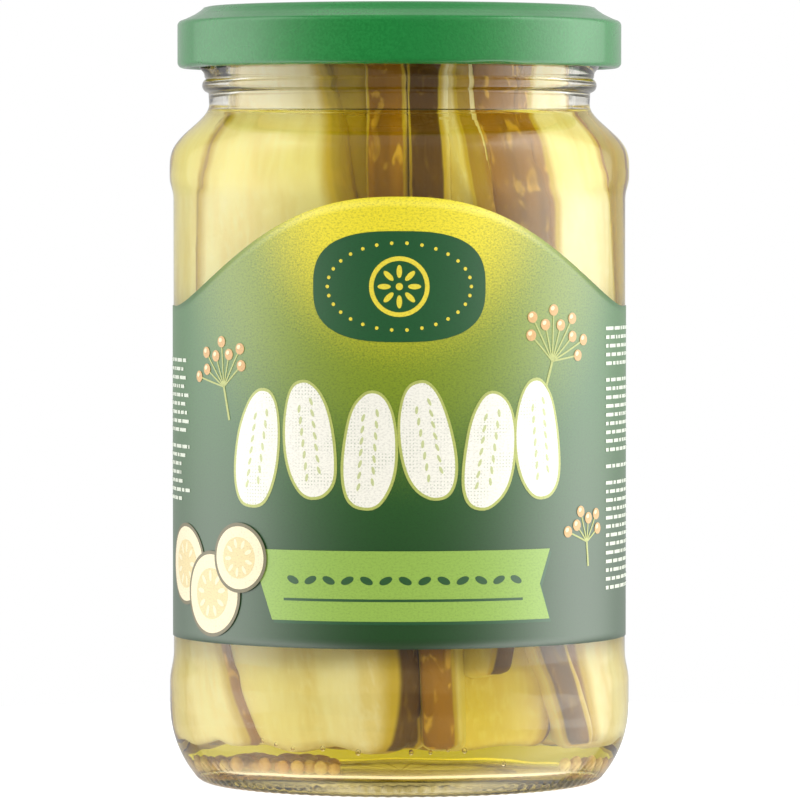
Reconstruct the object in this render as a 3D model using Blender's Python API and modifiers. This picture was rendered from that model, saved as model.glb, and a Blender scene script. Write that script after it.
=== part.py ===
"""A shut glass jar of lengthwise pickle slices, with a twist-off cap and a wrap-round paper label.

The jar stands on z = 0 with its axis on +Z, and the middle of its label faces -Y.
All sizes are in metres and all angles in degrees, counted from +X towards +Y.
Every turned piece has the same number of facets, so the facets of neighbours line up.
"""
import math
import random

import bmesh
import bpy

COLLECTION_NAME = "pickle_jar"
FACETS = 48
MERGE = 0.00001
SMOOTH_ANGLE = 40.0

# Glass body, outside: a foot ring, a rounded heel, two bumpers with the label panel between
# them, a shoulder, a short neck, a bead and the finish that the cap closes on.
GLASS_TOP = 0.1199
BODY_RADIUS = 0.0360
PANEL_RADIUS = 0.0354
PANEL_LOW = 0.0203
PANEL_HIGH = 0.0919
BUMPER_BLEND = 0.0008
BUMPER_SHARE = 0.7
LOWER_BUMPER_TOP = 0.0158
LOWER_BUMPER_LOW = 0.0120
UPPER_BUMPER = 0.0950
HEEL_SWEEP = 0.0173
FOOT_ROUND = 0.0026
FOOT_RING_WIDTH = 0.0018
FOOT_STEP = 0.0011
PUNT_RISE = 0.0026
PUNT_FALL = 0.75
DOME_SHARE = 0.6
DOME_FALL = 0.62
NECK_RADIUS = 0.0298
NECK_LOW = 0.1060
NECK_HIGH = 0.1079
BEAD_RADIUS = 0.0309
BEAD_HEIGHT = 0.0022
BEAD_SLOPE = 0.35
FINISH_RADIUS = 0.0305
RIM_ROUND = 0.0007

# Glass body, inside.
WALL = 0.0023
BORE_RADIUS = 0.0273
FLOOR_EDGE = 0.0038
FLOOR_RISE = 0.0018
INNER_HEEL_WIDTH = 0.0064
INNER_HEEL_HEIGHT = 0.0067
SHOULDER_DROP = 0.0009

# Exponents of the shoulder's S-curve, from the neck's radius at 0 to the body's at 1.
SHOULDER_START = 1.9
SHOULDER_END = 4.6

# Twist-off cap.
CAP_TOP = 0.1213
CAP_RADIUS = 0.03475
CAP_SHEET = 0.0005
CURL_RADIUS = 0.0009
CURL_CENTRE_HEIGHT = 0.1126
SKIRT_TOP = 0.1183
SKIRT_ROUND = 0.0009
SLOPE_RADIUS = 0.0323
SLOPE_HEIGHT = 0.1200
RING_RADIUS = 0.0304
RING_INNER_RADIUS = 0.0282
PANEL_DROP = 0.0006
PANEL_STEP = 0.0009
BUTTON_RADIUS = 0.0140
BUTTON_STEP = 0.0003
LUG_COUNT = 4
LUG_FIRST_ANGLE = 25.0
LUG_RADIUS = 0.0323
LUG_HEIGHT = 0.1123
LUG_SIZE = (0.0011, 0.0045, 0.0009)

# Paper label, a band with an arched top over its front.
LABEL_GAP = 0.00006
LABEL_SHEET = 0.00014
LABEL_LOW = 0.0230
LABEL_PEAK = 0.0916
ARCH_DROP = 0.0170
ARCH_HALF_WIDTH = 0.0493
ARCH_POWER = 1.25
FRONT_ANGLE = -90.0

# Pickle slices. Each is a lengthwise slice of a gherkin: its lower end cut across, its upper end
# narrower and rounded. A slice lies flat along the wall, or stands on edge with its rind to the wall.
CLEAR = 0.0004
CLEAR_STEP = 0.00005
SLICE_LOW = 0.0078
SLICE_THICK = 0.0062
END_SLICE_CROWN = 0.0034
EDGE_ROUNDING = 0.30
WAIST = 0.35
TOP_SHARE = 0.62
TIP_POWER = 1.5
TIP_ROUNDING = 0.0080
TIP_SHARE = 0.45
FOOT_NARROWING = 0.20
FOOT_SHARE = 0.14
KICK_SHARE = 0.30
KICK_POWER = 1.5
SLICE_CUTS = (3, 1, 6)
LEVEL_CROWDING = 1.7
ROOM_NARROWS = 0.0905
ROOM_NECK = 0.1020
CORE_RADIUS = 0.0256
CORE_NECK_RADIUS = 0.0205
CORE_FOOT_RADIUS = 0.0225
CORE_LOW = 0.0092
CORE_HEEL = 0.0140
CORE_SHOULDER = 0.0880
CORE_HIGH = 0.1000
CORE_FACETS = 24

# Mustard seeds: a ring of them in the groove round the floor.
SEED_RADIUS = 0.00105
SEED_RING_INNER = 0.0205
SEED_RING_OUTER = 0.0276
SEED_BED_LOW = 0.0006
SEED_BED_HIGH = 0.0013
SEED_BED_FACETS = 24
SEED_ROWS = 2
SEED_SPACING = 0.0060
SEED_JITTER = 0.30
SEED_STRAY = 0.0004
SEED_RANDOM = 5


class Slice:
    """One pickle slice: where it stands, which way its broad face looks, and its size."""

    def __init__(self, angle, reach, turn, width, high, lean=0.0, bend=0.045, rind=False, low=SLICE_LOW,
                 top=TOP_SHARE, kick=0.0, thick=SLICE_THICK):
        self.angle = angle      # where the middle of the slice stands round the jar
        self.reach = reach      # how far from the jar's axis
        self.turn = turn        # 0 lies along the wall, 90 stands on edge
        self.width = width
        self.high = high        # height of its tip
        self.lean = lean        # how far the tip stands beside the foot, towards larger angles
        self.bend = bend        # radius that its broad face bends to
        self.rind = rind        # an end slice shows a crowned face of rind
        self.low = low
        self.top = top          # its width at the tip over its width at the waist
        self.kick = kick        # how far its foot swings round the axis, towards larger angles
        self.thick = thick


SLICES = (
    Slice(-128.2, 0.0279, 0, 0.0348, 0.1165, lean=-0.0080, bend=0.040, top=0.56, kick=0.0026),
    Slice(-106.0, 0.0196, 0, 0.0240, 0.1150, lean=-0.0030, bend=0.060, rind=True),
    Slice(-90.4, 0.0205, 84.8, 0.0235, 0.1165, lean=-0.0029, bend=0.30),
    Slice(-75.2, 0.0212, 72, 0.0235, 0.1165, lean=-0.0022, bend=0.30),
    Slice(-68.2, 0.0269, -67.4, 0.0125, 0.1160, lean=-0.0050, bend=0.060, low=0.0178, thick=0.0044),
    Slice(-52.5, 0.0262, 2, 0.0165, 0.1150, lean=-0.0015, rind=True, low=0.0590),
    Slice(-62.0, 0.0222, 0, 0.0220, 0.0570, lean=-0.0020, top=0.9),
    Slice(-27.0, 0.0281, 0, 0.0205, 0.1140, lean=-0.0080, kick=0.0050, thick=0.0100),
    Slice(-2.0, 0.0213, 88, 0.0215, 0.1150, lean=0.0015, bend=0.30),
    Slice(22.0, 0.0281, 0, 0.0250, 0.1120, lean=0.0020),
    Slice(52.0, 0.0264, 3, 0.0175, 0.1150, lean=-0.0030, rind=True),
    Slice(71.0, 0.0212, 86, 0.0215, 0.1160, lean=0.0020, bend=0.30),
    Slice(87.0, 0.0214, 70, 0.0205, 0.1130, lean=0.0020, bend=0.30),
    Slice(109.0, 0.0279, 2, 0.0245, 0.1140, lean=0.0010),
    Slice(135.0, 0.0266, -4, 0.0165, 0.1150, lean=0.0030, rind=True),
    Slice(158.0, 0.0279, 0, 0.0185, 0.1140, lean=-0.0010),
    Slice(-176.0, 0.0160, 88, 0.0200, 0.1160, lean=-0.0015, bend=0.30),
    Slice(-171.0, 0.0304, 1, 0.0215, 0.1110, bend=0.042, kick=0.0088, thick=0.0020),
    Slice(-60.0, 0.0100, 20, 0.0260, 0.1150, bend=0.12),
    Slice(65.0, 0.0110, -15, 0.0250, 0.1140, bend=0.12),
    Slice(175.0, 0.0105, 10, 0.0240, 0.1160, bend=0.12),
)


def clear_scene():
    """Removes whatever the scene holds."""
    for thing in list(bpy.data.objects):
        bpy.data.objects.remove(thing, do_unlink=True)


def make_material(name, colour, roughness, metallic=0.0, transmission=0.0):
    """A plain Principled material."""
    material = bpy.data.materials.new(name)
    material.use_nodes = True
    shader = material.node_tree.nodes["Principled BSDF"]
    shader.inputs["Base Color"].default_value = (*colour, 1.0)
    shader.inputs["Roughness"].default_value = roughness
    shader.inputs["Metallic"].default_value = metallic
    shader.inputs["Transmission Weight"].default_value = transmission
    return material


def add_object(name, mesh, collection, material=None):
    """Links a mesh into a collection as a smooth-shaded object."""
    piece = bpy.data.objects.new(name, mesh)
    collection.objects.link(piece)
    if material:
        mesh.materials.append(material)
    mesh.shade_smooth()
    mesh.set_sharp_from_angle(angle=math.radians(SMOOTH_ANGLE))
    return piece


def arc(centre_x, centre_z, width, height, start, end, steps):
    """Points of an ellipse's arc in the profile's plane, both ends included."""
    points = []
    for index in range(steps + 1):
        angle = math.radians(start + (end - start) * index / steps)
        points.append((centre_x + width * math.cos(angle), centre_z + height * math.sin(angle)))
    return points


def turned(name, profile, collection, material, facets=FACETS, ring=False):
    """A profile in the XZ plane, turned round the Z axis; a ring's section closes on itself."""
    mesh = bpy.data.meshes.new(name)
    edges = [(index, index + 1) for index in range(len(profile) - 1)]
    if ring:
        edges.append((len(profile) - 1, 0))
    mesh.from_pydata([(x, 0.0, z) for x, z in profile], edges, [])
    piece = add_object(name, mesh, collection, material)
    screw = piece.modifiers.new("turn", "SCREW")
    screw.steps = facets
    screw.render_steps = facets
    screw.use_merge_vertices = True
    screw.merge_threshold = MERGE
    return piece


def shoulder(low, high, inner, outer, steps):
    """The shoulder's S-curve, from its foot at the body up to the neck."""
    points = []
    for index in range(steps, -1, -1):
        share = index / steps
        spread = 1.0 - (1.0 - share ** SHOULDER_START) ** SHOULDER_END
        points.append((inner + (outer - inner) * spread, high + (low - high) * share))
    return points


def glass_inside():
    """The jar's inside, from the middle of its floor up to the start of the rim."""
    inner_radius = PANEL_RADIUS - WALL
    heel_x = inner_radius - INNER_HEEL_WIDTH
    heel_z = FLOOR_EDGE + INNER_HEEL_HEIGHT
    points = [(0.0, FLOOR_EDGE + FLOOR_RISE)]
    points.append((heel_x * DOME_SHARE, FLOOR_EDGE + FLOOR_RISE * DOME_FALL))
    points += arc(heel_x, heel_z, INNER_HEEL_WIDTH, INNER_HEEL_HEIGHT, -90, 0, 3)
    points += shoulder(UPPER_BUMPER - SHOULDER_DROP, NECK_LOW - SHOULDER_DROP, BORE_RADIUS, inner_radius, 5)
    return points


def foot_round_centre():
    """Distance from the axis of the small rounding that carries the heel's sweep into the foot ring."""
    sweep_centre = BODY_RADIUS - HEEL_SWEEP
    reach = HEEL_SWEEP - FOOT_ROUND
    drop = LOWER_BUMPER_LOW - FOOT_ROUND
    return sweep_centre + math.sqrt(reach ** 2 - drop ** 2)


def glass_outside():
    """The jar's outside, from the rim down to the middle of its base."""
    sweep_centre = BODY_RADIUS - HEEL_SWEEP
    foot_centre = foot_round_centre()
    turn_over = math.degrees(math.atan2(LOWER_BUMPER_LOW - FOOT_ROUND, foot_centre - sweep_centre))
    ring_inner = foot_centre - FOOT_RING_WIDTH
    bumper_edge = PANEL_RADIUS + (BODY_RADIUS - PANEL_RADIUS) * BUMPER_SHARE
    points = arc(BORE_RADIUS + RIM_ROUND, GLASS_TOP - RIM_ROUND, RIM_ROUND, RIM_ROUND, 180, 90, 1)
    points += arc(FINISH_RADIUS - RIM_ROUND, GLASS_TOP - RIM_ROUND, RIM_ROUND, RIM_ROUND, 90, 0, 1)
    points.append((FINISH_RADIUS, NECK_HIGH + BEAD_HEIGHT))
    points.append((BEAD_RADIUS, NECK_HIGH + BEAD_HEIGHT * (1.0 - BEAD_SLOPE)))
    points.append((BEAD_RADIUS, NECK_HIGH + BEAD_HEIGHT * BEAD_SLOPE))
    points.append((NECK_RADIUS, NECK_HIGH))
    points += reversed(shoulder(UPPER_BUMPER, NECK_LOW, NECK_RADIUS, BODY_RADIUS, 8))
    points.append((bumper_edge, PANEL_HIGH + BUMPER_BLEND))
    points.append((PANEL_RADIUS, PANEL_HIGH))
    points.append((PANEL_RADIUS, PANEL_LOW))
    points.append((bumper_edge, PANEL_LOW - BUMPER_BLEND))
    points.append((BODY_RADIUS, LOWER_BUMPER_TOP))
    points += arc(sweep_centre, LOWER_BUMPER_LOW, HEEL_SWEEP, HEEL_SWEEP, 0, -turn_over, 4)
    points += arc(foot_centre, FOOT_ROUND, FOOT_ROUND, FOOT_ROUND, -turn_over, -90, 2)[1:]
    points.append((ring_inner, 0.0))
    points.append((ring_inner - FOOT_STEP, FOOT_STEP * 0.5))
    points.append((ring_inner * DOME_SHARE, PUNT_RISE * PUNT_FALL))
    points.append((0.0, PUNT_RISE))
    return points


def make_jar(collection):
    """The glass, one solid with an open mouth under the cap."""
    glass = make_material("clear_glass", (0.93, 0.97, 0.95), 0.02, transmission=1.0)
    return turned("jar", glass_inside() + glass_outside(), collection, glass)


def cap_profile():
    """The cap's section: out over its top, down the skirt, round the curl and back under the sheet."""
    curl_x = CAP_RADIUS - CURL_RADIUS
    round_x = CAP_RADIUS - SKIRT_ROUND
    panel = CAP_TOP - PANEL_DROP
    over = [(0.0, panel - BUTTON_STEP * 0.5), (BUTTON_RADIUS - PANEL_STEP, panel + BUTTON_STEP)]
    over.append((BUTTON_RADIUS, panel))
    over.append((RING_INNER_RADIUS - PANEL_STEP, panel))
    over.append((RING_INNER_RADIUS, CAP_TOP))
    over.append((RING_RADIUS, CAP_TOP))
    over.append(((RING_RADIUS + SLOPE_RADIUS) * 0.5, (CAP_TOP * 2 + SLOPE_HEIGHT) / 3))
    over.append((SLOPE_RADIUS, SLOPE_HEIGHT))
    over += arc(round_x, SKIRT_TOP, SKIRT_ROUND, SKIRT_ROUND, 60, 0, 2)
    curl = arc(curl_x, CURL_CENTRE_HEIGHT, CURL_RADIUS, CURL_RADIUS, 0, -300, 5)
    under = [(CAP_RADIUS - CAP_SHEET, SKIRT_TOP - CAP_SHEET * 0.5)]
    under.append((SLOPE_RADIUS, SLOPE_HEIGHT - CAP_SHEET * 1.5))
    under.append((RING_RADIUS + CAP_SHEET * 0.5, CAP_TOP - CAP_SHEET))
    under.append((RING_INNER_RADIUS + CAP_SHEET * 0.5, CAP_TOP - CAP_SHEET))
    under.append((RING_INNER_RADIUS - PANEL_STEP + CAP_SHEET * 0.5, panel - CAP_SHEET))
    under.append((0.0, panel - CAP_SHEET - BUTTON_STEP))
    return over + curl + under


def make_lug(index, scrap):
    """One of the lugs that are pressed inwards from the curl and grip the glass."""
    turn = math.radians(LUG_FIRST_ANGLE + 360.0 * index / LUG_COUNT)
    bm = bmesh.new()
    bmesh.ops.create_uvsphere(bm, u_segments=8, v_segments=5, radius=1.0)
    for vert in bm.verts:
        out = LUG_RADIUS + vert.co.x * LUG_SIZE[0]
        around = turn + vert.co.y * LUG_SIZE[1] / LUG_RADIUS
        height = LUG_HEIGHT + vert.co.z * LUG_SIZE[2]
        vert.co = (out * math.cos(around), out * math.sin(around), height)
    mesh = bpy.data.meshes.new("lug")
    bm.to_mesh(mesh)
    bm.free()
    return add_object(f"lug_{index}", mesh, scrap)


def body_of(face, left):
    """Takes one body of faces, joined edge to edge, out of those that are left."""
    left.discard(face)
    body = [face]
    for member in body:
        for edge in member.edges:
            for other in edge.link_faces:
                if other in left:
                    left.discard(other)
                    body.append(other)
    return body


def keep_main_body(mesh):
    """Drops the loose scraps and sealed hollows that a union leaves beside the main body."""
    bm = bmesh.new()
    bm.from_mesh(mesh)
    left = set(bm.faces)
    bodies = []
    while left:
        bodies.append(body_of(next(iter(left)), left))
    bodies.sort(key=len)
    for body in bodies[:-1]:
        bmesh.ops.delete(bm, geom=body, context="FACES")
    bm.to_mesh(mesh)
    bm.free()


def fuse(piece, scrap):
    """Joins a collection's solids to a piece with one Boolean union, and removes them."""
    union = piece.modifiers.new("fuse", "BOOLEAN")
    union.operand_type = "COLLECTION"
    union.collection = scrap
    union.operation = "UNION"
    union.solver = "MANIFOLD"
    bpy.context.view_layer.update()
    graph = bpy.context.evaluated_depsgraph_get()
    joined = bpy.data.meshes.new_from_object(piece.evaluated_get(graph))
    keep_main_body(joined)
    piece.modifiers.clear()
    piece.data = joined
    for part in list(scrap.objects):
        bpy.data.objects.remove(part, do_unlink=True)
    bpy.data.collections.remove(scrap)


def new_collection(name):
    """A new collection in the scene."""
    collection = bpy.data.collections.new(name)
    bpy.context.scene.collection.children.link(collection)
    return collection


def make_lid(collection):
    """The painted steel cap with its curl and lugs."""
    paint = make_material("green_paint", (0.06, 0.36, 0.14), 0.35, metallic=0.2)
    lid = turned("lid", cap_profile(), collection, paint)
    scrap = new_collection("lid_scrap")
    for index in range(LUG_COUNT):
        make_lug(index, scrap)
    fuse(lid, scrap)
    return lid


def label_top(angle):
    """Height of the label's upper edge at an angle: an arch over the front, level round the back."""
    away = math.radians((angle - FRONT_ANGLE + 180.0) % 360.0 - 180.0) * PANEL_RADIUS
    share = min(abs(away) / ARCH_HALF_WIDTH, 1.0)
    return LABEL_PEAK - ARCH_DROP * (math.sin(share * math.pi / 2) ** 2) ** ARCH_POWER


def make_label(collection):
    """The paper band round the panel, an open cylinder given its thickness by Solidify."""
    paper = make_material("green_paper", (0.05, 0.28, 0.12), 0.55)
    radius = PANEL_RADIUS + LABEL_GAP
    bm = bmesh.new()
    bmesh.ops.create_cone(bm, cap_ends=False, segments=FACETS, radius1=radius, radius2=radius, depth=1.0)
    for vert in bm.verts:
        angle = math.degrees(math.atan2(vert.co.y, vert.co.x))
        vert.co.z = label_top(angle) if vert.co.z > 0.0 else LABEL_LOW
    mesh = bpy.data.meshes.new("label")
    bm.to_mesh(mesh)
    bm.free()
    label = add_object("label", mesh, collection, paper)
    sheet = label.modifiers.new("sheet", "SOLIDIFY")
    sheet.thickness = LABEL_SHEET
    sheet.offset = 1.0
    sheet.use_even_offset = True
    return label


def room_radius(height):
    """How far from the axis a slice may reach: to the wall, and straight in over the shoulder."""
    wall = PANEL_RADIUS - WALL
    heel = FLOOR_EDGE + INNER_HEEL_HEIGHT
    if height < heel:
        drop = (heel - height) / INNER_HEEL_HEIGHT
        return wall - INNER_HEEL_WIDTH * (1.0 - math.sqrt(1.0 - drop ** 2))
    share = (height - ROOM_NARROWS) / (ROOM_NECK - ROOM_NARROWS)
    return wall + (BORE_RADIUS - wall) * min(max(share, 0.0), 1.0)


def slice_place(piece, across, through, along, clear):
    """Where one point of a slice lies; the three shares run from -1 to 1 over the slice."""
    share = 1.0 - (0.5 - along * 0.5) ** LEVEL_CROWDING
    height = piece.low + (piece.high - piece.low) * share
    past_waist = max(0.0, (share - WAIST) / (1.0 - WAIST))
    taper = 1.0 - (1.0 - piece.top) * past_waist ** TIP_POWER
    near_tip = max(0.0, 1.0 - (piece.high - height) / TIP_ROUNDING)
    taper *= TIP_SHARE + (1.0 - TIP_SHARE) * math.sqrt(1.0 - near_tip ** 2)
    taper *= 1.0 - FOOT_NARROWING * max(0.0, 1.0 - share / FOOT_SHARE) ** 2
    side = across * piece.width * 0.5 * taper
    depth = through * piece.thick * 0.5 * (1.0 - EDGE_ROUNDING * across ** 4)
    if piece.rind and through > 0.0:
        depth += END_SLICE_CROWN * (1.0 - across ** 2) * through
    bent = side / piece.bend
    side = piece.bend * math.sin(bent)
    lean = piece.lean * (share - 0.5)
    swing = piece.kick * max(0.0, 1.0 - share / KICK_SHARE) ** KICK_POWER / piece.reach
    depth -= piece.bend * (1.0 - math.cos(bent))
    stand = math.radians(piece.angle) + swing
    face = stand + math.radians(piece.turn)
    x = piece.reach * math.cos(stand) - lean * math.sin(stand)
    y = piece.reach * math.sin(stand) + lean * math.cos(stand)
    x += depth * math.cos(face) - side * math.sin(face)
    y += depth * math.sin(face) + side * math.cos(face)
    out = math.hypot(x, y)
    room = room_radius(height) - clear
    if out > room:
        x *= room / out
        y *= room / out
    return x, y, height


def make_slice(index, piece, scrap):
    """A slice, shaped from a cube that is cut into a grid."""
    bm = bmesh.new()
    bmesh.ops.create_cube(bm, size=2.0)
    for axis, cuts in enumerate(SLICE_CUTS):
        edges = [edge for edge in bm.edges if abs(edge.verts[0].co[axis] - edge.verts[1].co[axis]) > 1.0]
        bmesh.ops.subdivide_edges(bm, edges=edges, cuts=cuts, use_grid_fill=True)
    clear = CLEAR + CLEAR_STEP * index
    for vert in bm.verts:
        vert.co = slice_place(piece, vert.co.x, -vert.co.y, vert.co.z, clear)
    bmesh.ops.recalc_face_normals(bm, faces=bm.faces)
    mesh = bpy.data.meshes.new("slice")
    bm.to_mesh(mesh)
    bm.free()
    return add_object(f"slice_{index}", mesh, scrap)


def core_profile():
    """The middle of the heap, a plain column that the slices stand against, narrower at both ends."""
    return [
        (0.0, CORE_HIGH),
        (CORE_NECK_RADIUS, CORE_HIGH),
        (CORE_RADIUS, CORE_SHOULDER),
        (CORE_RADIUS, CORE_HEEL),
        (CORE_FOOT_RADIUS, CORE_LOW),
        (0.0, CORE_LOW),
    ]


def make_pickles(collection):
    """The heap: a core with the slices that show fused on."""
    flesh = make_material("pickle_flesh", (0.75, 0.66, 0.28), 0.45)
    heap = turned("pickles", core_profile(), collection, flesh, CORE_FACETS)
    scrap = new_collection("slice_scrap")
    for index, piece in enumerate(SLICES):
        make_slice(index, piece, scrap)
    fuse(heap, scrap)
    return heap


def floor_height(radius):
    """Height of the jar's inner floor at a distance from the axis."""
    profile = glass_inside()
    for (low_x, low_z), (high_x, high_z) in zip(profile, profile[1:]):
        if low_x <= radius <= high_x and high_x > low_x:
            return low_z + (high_z - low_z) * (radius - low_x) / (high_x - low_x)
    return FLOOR_EDGE


def make_seed(index, radius, angle, scrap):
    """One mustard seed, lying half in the bed."""
    bm = bmesh.new()
    bmesh.ops.create_icosphere(bm, subdivisions=1, radius=SEED_RADIUS)
    height = floor_height(radius) + SEED_BED_HIGH
    for vert in bm.verts:
        vert.co.x += radius * math.cos(angle)
        vert.co.y += radius * math.sin(angle)
        vert.co.z += height
    mesh = bpy.data.meshes.new("seed")
    bm.to_mesh(mesh)
    bm.free()
    return add_object(f"seed_{index}", mesh, scrap)


def make_seeds(collection):
    """The ring of mustard seeds that has settled in the groove of the floor."""
    husk = make_material("mustard_husk", (0.62, 0.36, 0.10), 0.4)
    inner_low = floor_height(SEED_RING_INNER) + SEED_BED_LOW
    outer_low = floor_height(SEED_RING_OUTER) + SEED_BED_LOW
    thick = SEED_BED_HIGH - SEED_BED_LOW
    section = [(SEED_RING_INNER, inner_low), (SEED_RING_INNER, inner_low + thick)]
    section += [(SEED_RING_OUTER, outer_low + thick), (SEED_RING_OUTER, outer_low)]
    bed = turned("mustard_seeds", section, collection, husk, SEED_BED_FACETS, ring=True)
    scrap = new_collection("seed_scrap")
    draw = random.Random(SEED_RANDOM)
    count = 0
    for row in range(SEED_ROWS):
        radius = SEED_RING_INNER + (SEED_RING_OUTER - SEED_RING_INNER) * (row + 0.5) / SEED_ROWS
        around = round(2 * math.pi * radius / SEED_SPACING)
        for index in range(around):
            angle = 2 * math.pi * (index + 0.5 * (row % 2) + draw.uniform(-SEED_JITTER, SEED_JITTER)) / around
            make_seed(count, radius + draw.uniform(-SEED_STRAY, SEED_STRAY), angle, scrap)
            count += 1
    fuse(bed, scrap)
    return bed


def main():
    """Builds the whole jar."""
    clear_scene()
    collection = new_collection(COLLECTION_NAME)
    make_jar(collection)
    make_lid(collection)
    make_label(collection)
    make_pickles(collection)
    make_seeds(collection)


main()
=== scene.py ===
"""Looks of the pickle jar: glass, brine, slices, seeds, cap and printed label.

The frame is the CAD's own: metres, +Z up, the middle of the label faces -Y. Angles are in degrees
and count from +X towards +Y. Heights and radii of the jar repeat those of the CAD.
"""
import math
import random
from dataclasses import dataclass

import bmesh
import bpy
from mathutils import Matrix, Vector, noise


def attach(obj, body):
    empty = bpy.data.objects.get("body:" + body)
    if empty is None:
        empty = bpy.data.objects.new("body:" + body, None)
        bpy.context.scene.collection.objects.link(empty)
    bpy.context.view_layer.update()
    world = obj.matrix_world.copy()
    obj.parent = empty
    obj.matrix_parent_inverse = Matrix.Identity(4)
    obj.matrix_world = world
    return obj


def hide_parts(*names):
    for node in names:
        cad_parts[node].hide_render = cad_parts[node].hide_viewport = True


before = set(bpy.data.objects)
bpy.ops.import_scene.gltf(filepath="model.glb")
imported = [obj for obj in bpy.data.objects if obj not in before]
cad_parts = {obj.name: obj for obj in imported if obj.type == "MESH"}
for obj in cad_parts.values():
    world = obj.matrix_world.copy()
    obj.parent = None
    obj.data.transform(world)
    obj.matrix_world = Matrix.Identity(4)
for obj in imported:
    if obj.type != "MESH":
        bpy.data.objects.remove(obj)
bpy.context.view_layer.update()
ROOT = "root"
MM = 0.001

# Camera, at the height of the label's upper third.
CAMERA_PLACE = (0.0001, -1.0, 0.0911)
CAMERA_PITCH = -1.797
CAMERA_LENS = 286.9
CAMERA_SENSOR = 36.0

# Glass, outside.
GLASS_TOP = 0.1199
BODY_RADIUS = 0.0360
PANEL_RADIUS = 0.0354
PANEL_LOW = 0.0203
PANEL_HIGH = 0.0919
LOWER_BUMPER_TOP = 0.0158
LOWER_BUMPER_LOW = 0.0120
UPPER_BUMPER = 0.0950
UPPER_BUMPER_EDGE = 0.0002
PANEL_EDGE = 0.0005
HEEL_SWEEP = 0.0173
FOOT_ROUND = 0.0026
FOOT_RING_WIDTH = 0.0018
FOOT_INNER_EDGE = ((0.0, 0.0), (0.0006, 0.0002), (0.0012, 0.0007))
PUNT_RISE = 0.0026
PUNT_EDGE = 0.0009
PUNT_SHARE = 0.94
NECK_RADIUS = 0.0298
NECK_LOW = 0.1060
NECK_HIGH = 0.1079
BEAD_RADIUS = 0.0309
BEAD_HEIGHT = 0.0022
FINISH_RADIUS = 0.0305
RIM_ROUND = 0.0007

# Glass, inside.
WALL = 0.0023
INNER_RADIUS = PANEL_RADIUS - WALL
BORE_RADIUS = 0.0273
FLOOR_EDGE = 0.0038
FLOOR_RISE = 0.0018
INNER_HEEL_WIDTH = 0.0064
INNER_HEEL_HEIGHT = 0.0067
SHOULDER_DROP = 0.0009
SHOULDER_START = 1.9
SHOULDER_END = 4.6

# Brine, which reaches just into the wall.
BRINE_BITE = 0.00025
BRINE_EDGE_BITE = 0.2
BRINE_EDGE_FADE = 0.003
BRINE_TOP = 0.1018
MENISCUS_RISE = 0.0028
MENISCUS_WIDTH = 0.0012

# Cap.
CAP_TOP = 0.1213
CAP_RADIUS = 0.03475
CAP_SHEET = 0.0005
CURL_RADIUS = 0.0009
CURL_CENTRE_HEIGHT = 0.1126
SKIRT_TOP = 0.1183
SKIRT_ROUND = 0.0009
SLOPE_RADIUS = 0.0323
SLOPE_HEIGHT = 0.1200
RING_RADIUS = 0.0304
RING_INNER_RADIUS = 0.0282
PANEL_DROP = 0.0006
PANEL_STEP = 0.0009
BUTTON_RADIUS = 0.0140
BUTTON_STEP = 0.0003
LUG_COUNT = 4
LUG_FIRST_ANGLE = 25.0
LUG_REACH = 0.0017
LUG_HALF_ANGLE = 9.0

# Label.
LABEL_GAP = 0.00006
LABEL_SHEET = 0.00014
LABEL_LOW = 0.0230
LABEL_PEAK = 0.0916
ARCH_DROP = 0.0170
ARCH_HALF_WIDTH = 0.0493
ARCH_POWER = 1.25
LABEL_RADIUS = PANEL_RADIUS + LABEL_GAP + LABEL_SHEET
LABEL_INSET = 0.00006
LABEL_LAP = 0.0050
LAP_LIFT = 0.00003
LAP_RAMP = 0.002
PRINT_STEP = 0.00002
PRINT_THICK = 0.000015
PRINT_SHARP = 0.6

# Slices.
CLEAR = 0.0004
CLEAR_STEP = 0.00004
SLICE_LOW = 0.0078
SLICE_THICK = 0.0062
END_SLICE_CROWN = 0.0034
WAIST = 0.35
TOP_SHARE = 0.62
TIP_POWER = 1.5
TIP_ROUNDING = 0.0080
TIP_SHARE = 0.45
FOOT_NARROWING = 0.20
FOOT_SHARE = 0.14
KICK_SHARE = 0.30
KICK_POWER = 1.5
ROOM_NARROWS = 0.0905
ROOM_NECK = 0.1020
CORE_RADIUS = 0.0250
CORE_NECK_RADIUS = 0.0200
CORE_FOOT_RADIUS = 0.0220
CORE_LOW = 0.0096
CORE_HEEL = 0.0140
CORE_SHOULDER = 0.0880
CORE_HIGH = 0.0996


def srgb(red, green, blue):
    """A colour given as it looks on a screen, 0 to 255, as linear values."""
    values = []
    for part in (red, green, blue):
        share = part / 255.0
        values.append(share / 12.92 if share <= 0.04045 else ((share + 0.055) / 1.055) ** 2.4)
    return tuple(values)


def grey(level):
    """A grey of one level."""
    return (level, level, level)


# Shader helpers.


def put(socket, value):
    """Links a socket to another one, or sets its own value."""
    if isinstance(value, bpy.types.NodeSocket):
        socket.id_data.links.new(value, socket)
    elif isinstance(value, tuple) and socket.type == "RGBA":
        socket.default_value = (*value[:3], 1.0)
    else:
        socket.default_value = value


def add_node(tree, kind, inputs=None, **settings):
    """A node with its settings and inputs."""
    item = tree.nodes.new(kind)
    for name, value in settings.items():
        setattr(item, name, value)
    for name, value in (inputs or {}).items():
        put(item.inputs[name], value)
    return item


def calc(tree, operation, first, second=0.0):
    """One step of arithmetic."""
    inputs = {0: first, 1: second}
    return add_node(tree, "ShaderNodeMath", inputs, operation=operation).outputs[0]


def fade(tree, value, start, end, low=0.0, high=1.0):
    """A smooth step from low to high as the value runs from start to end."""
    inputs = {"Value": value, "From Min": start, "From Max": end, "To Min": low, "To Max": high}
    return add_node(tree, "ShaderNodeMapRange", inputs, interpolation_type="SMOOTHSTEP").outputs["Result"]


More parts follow.
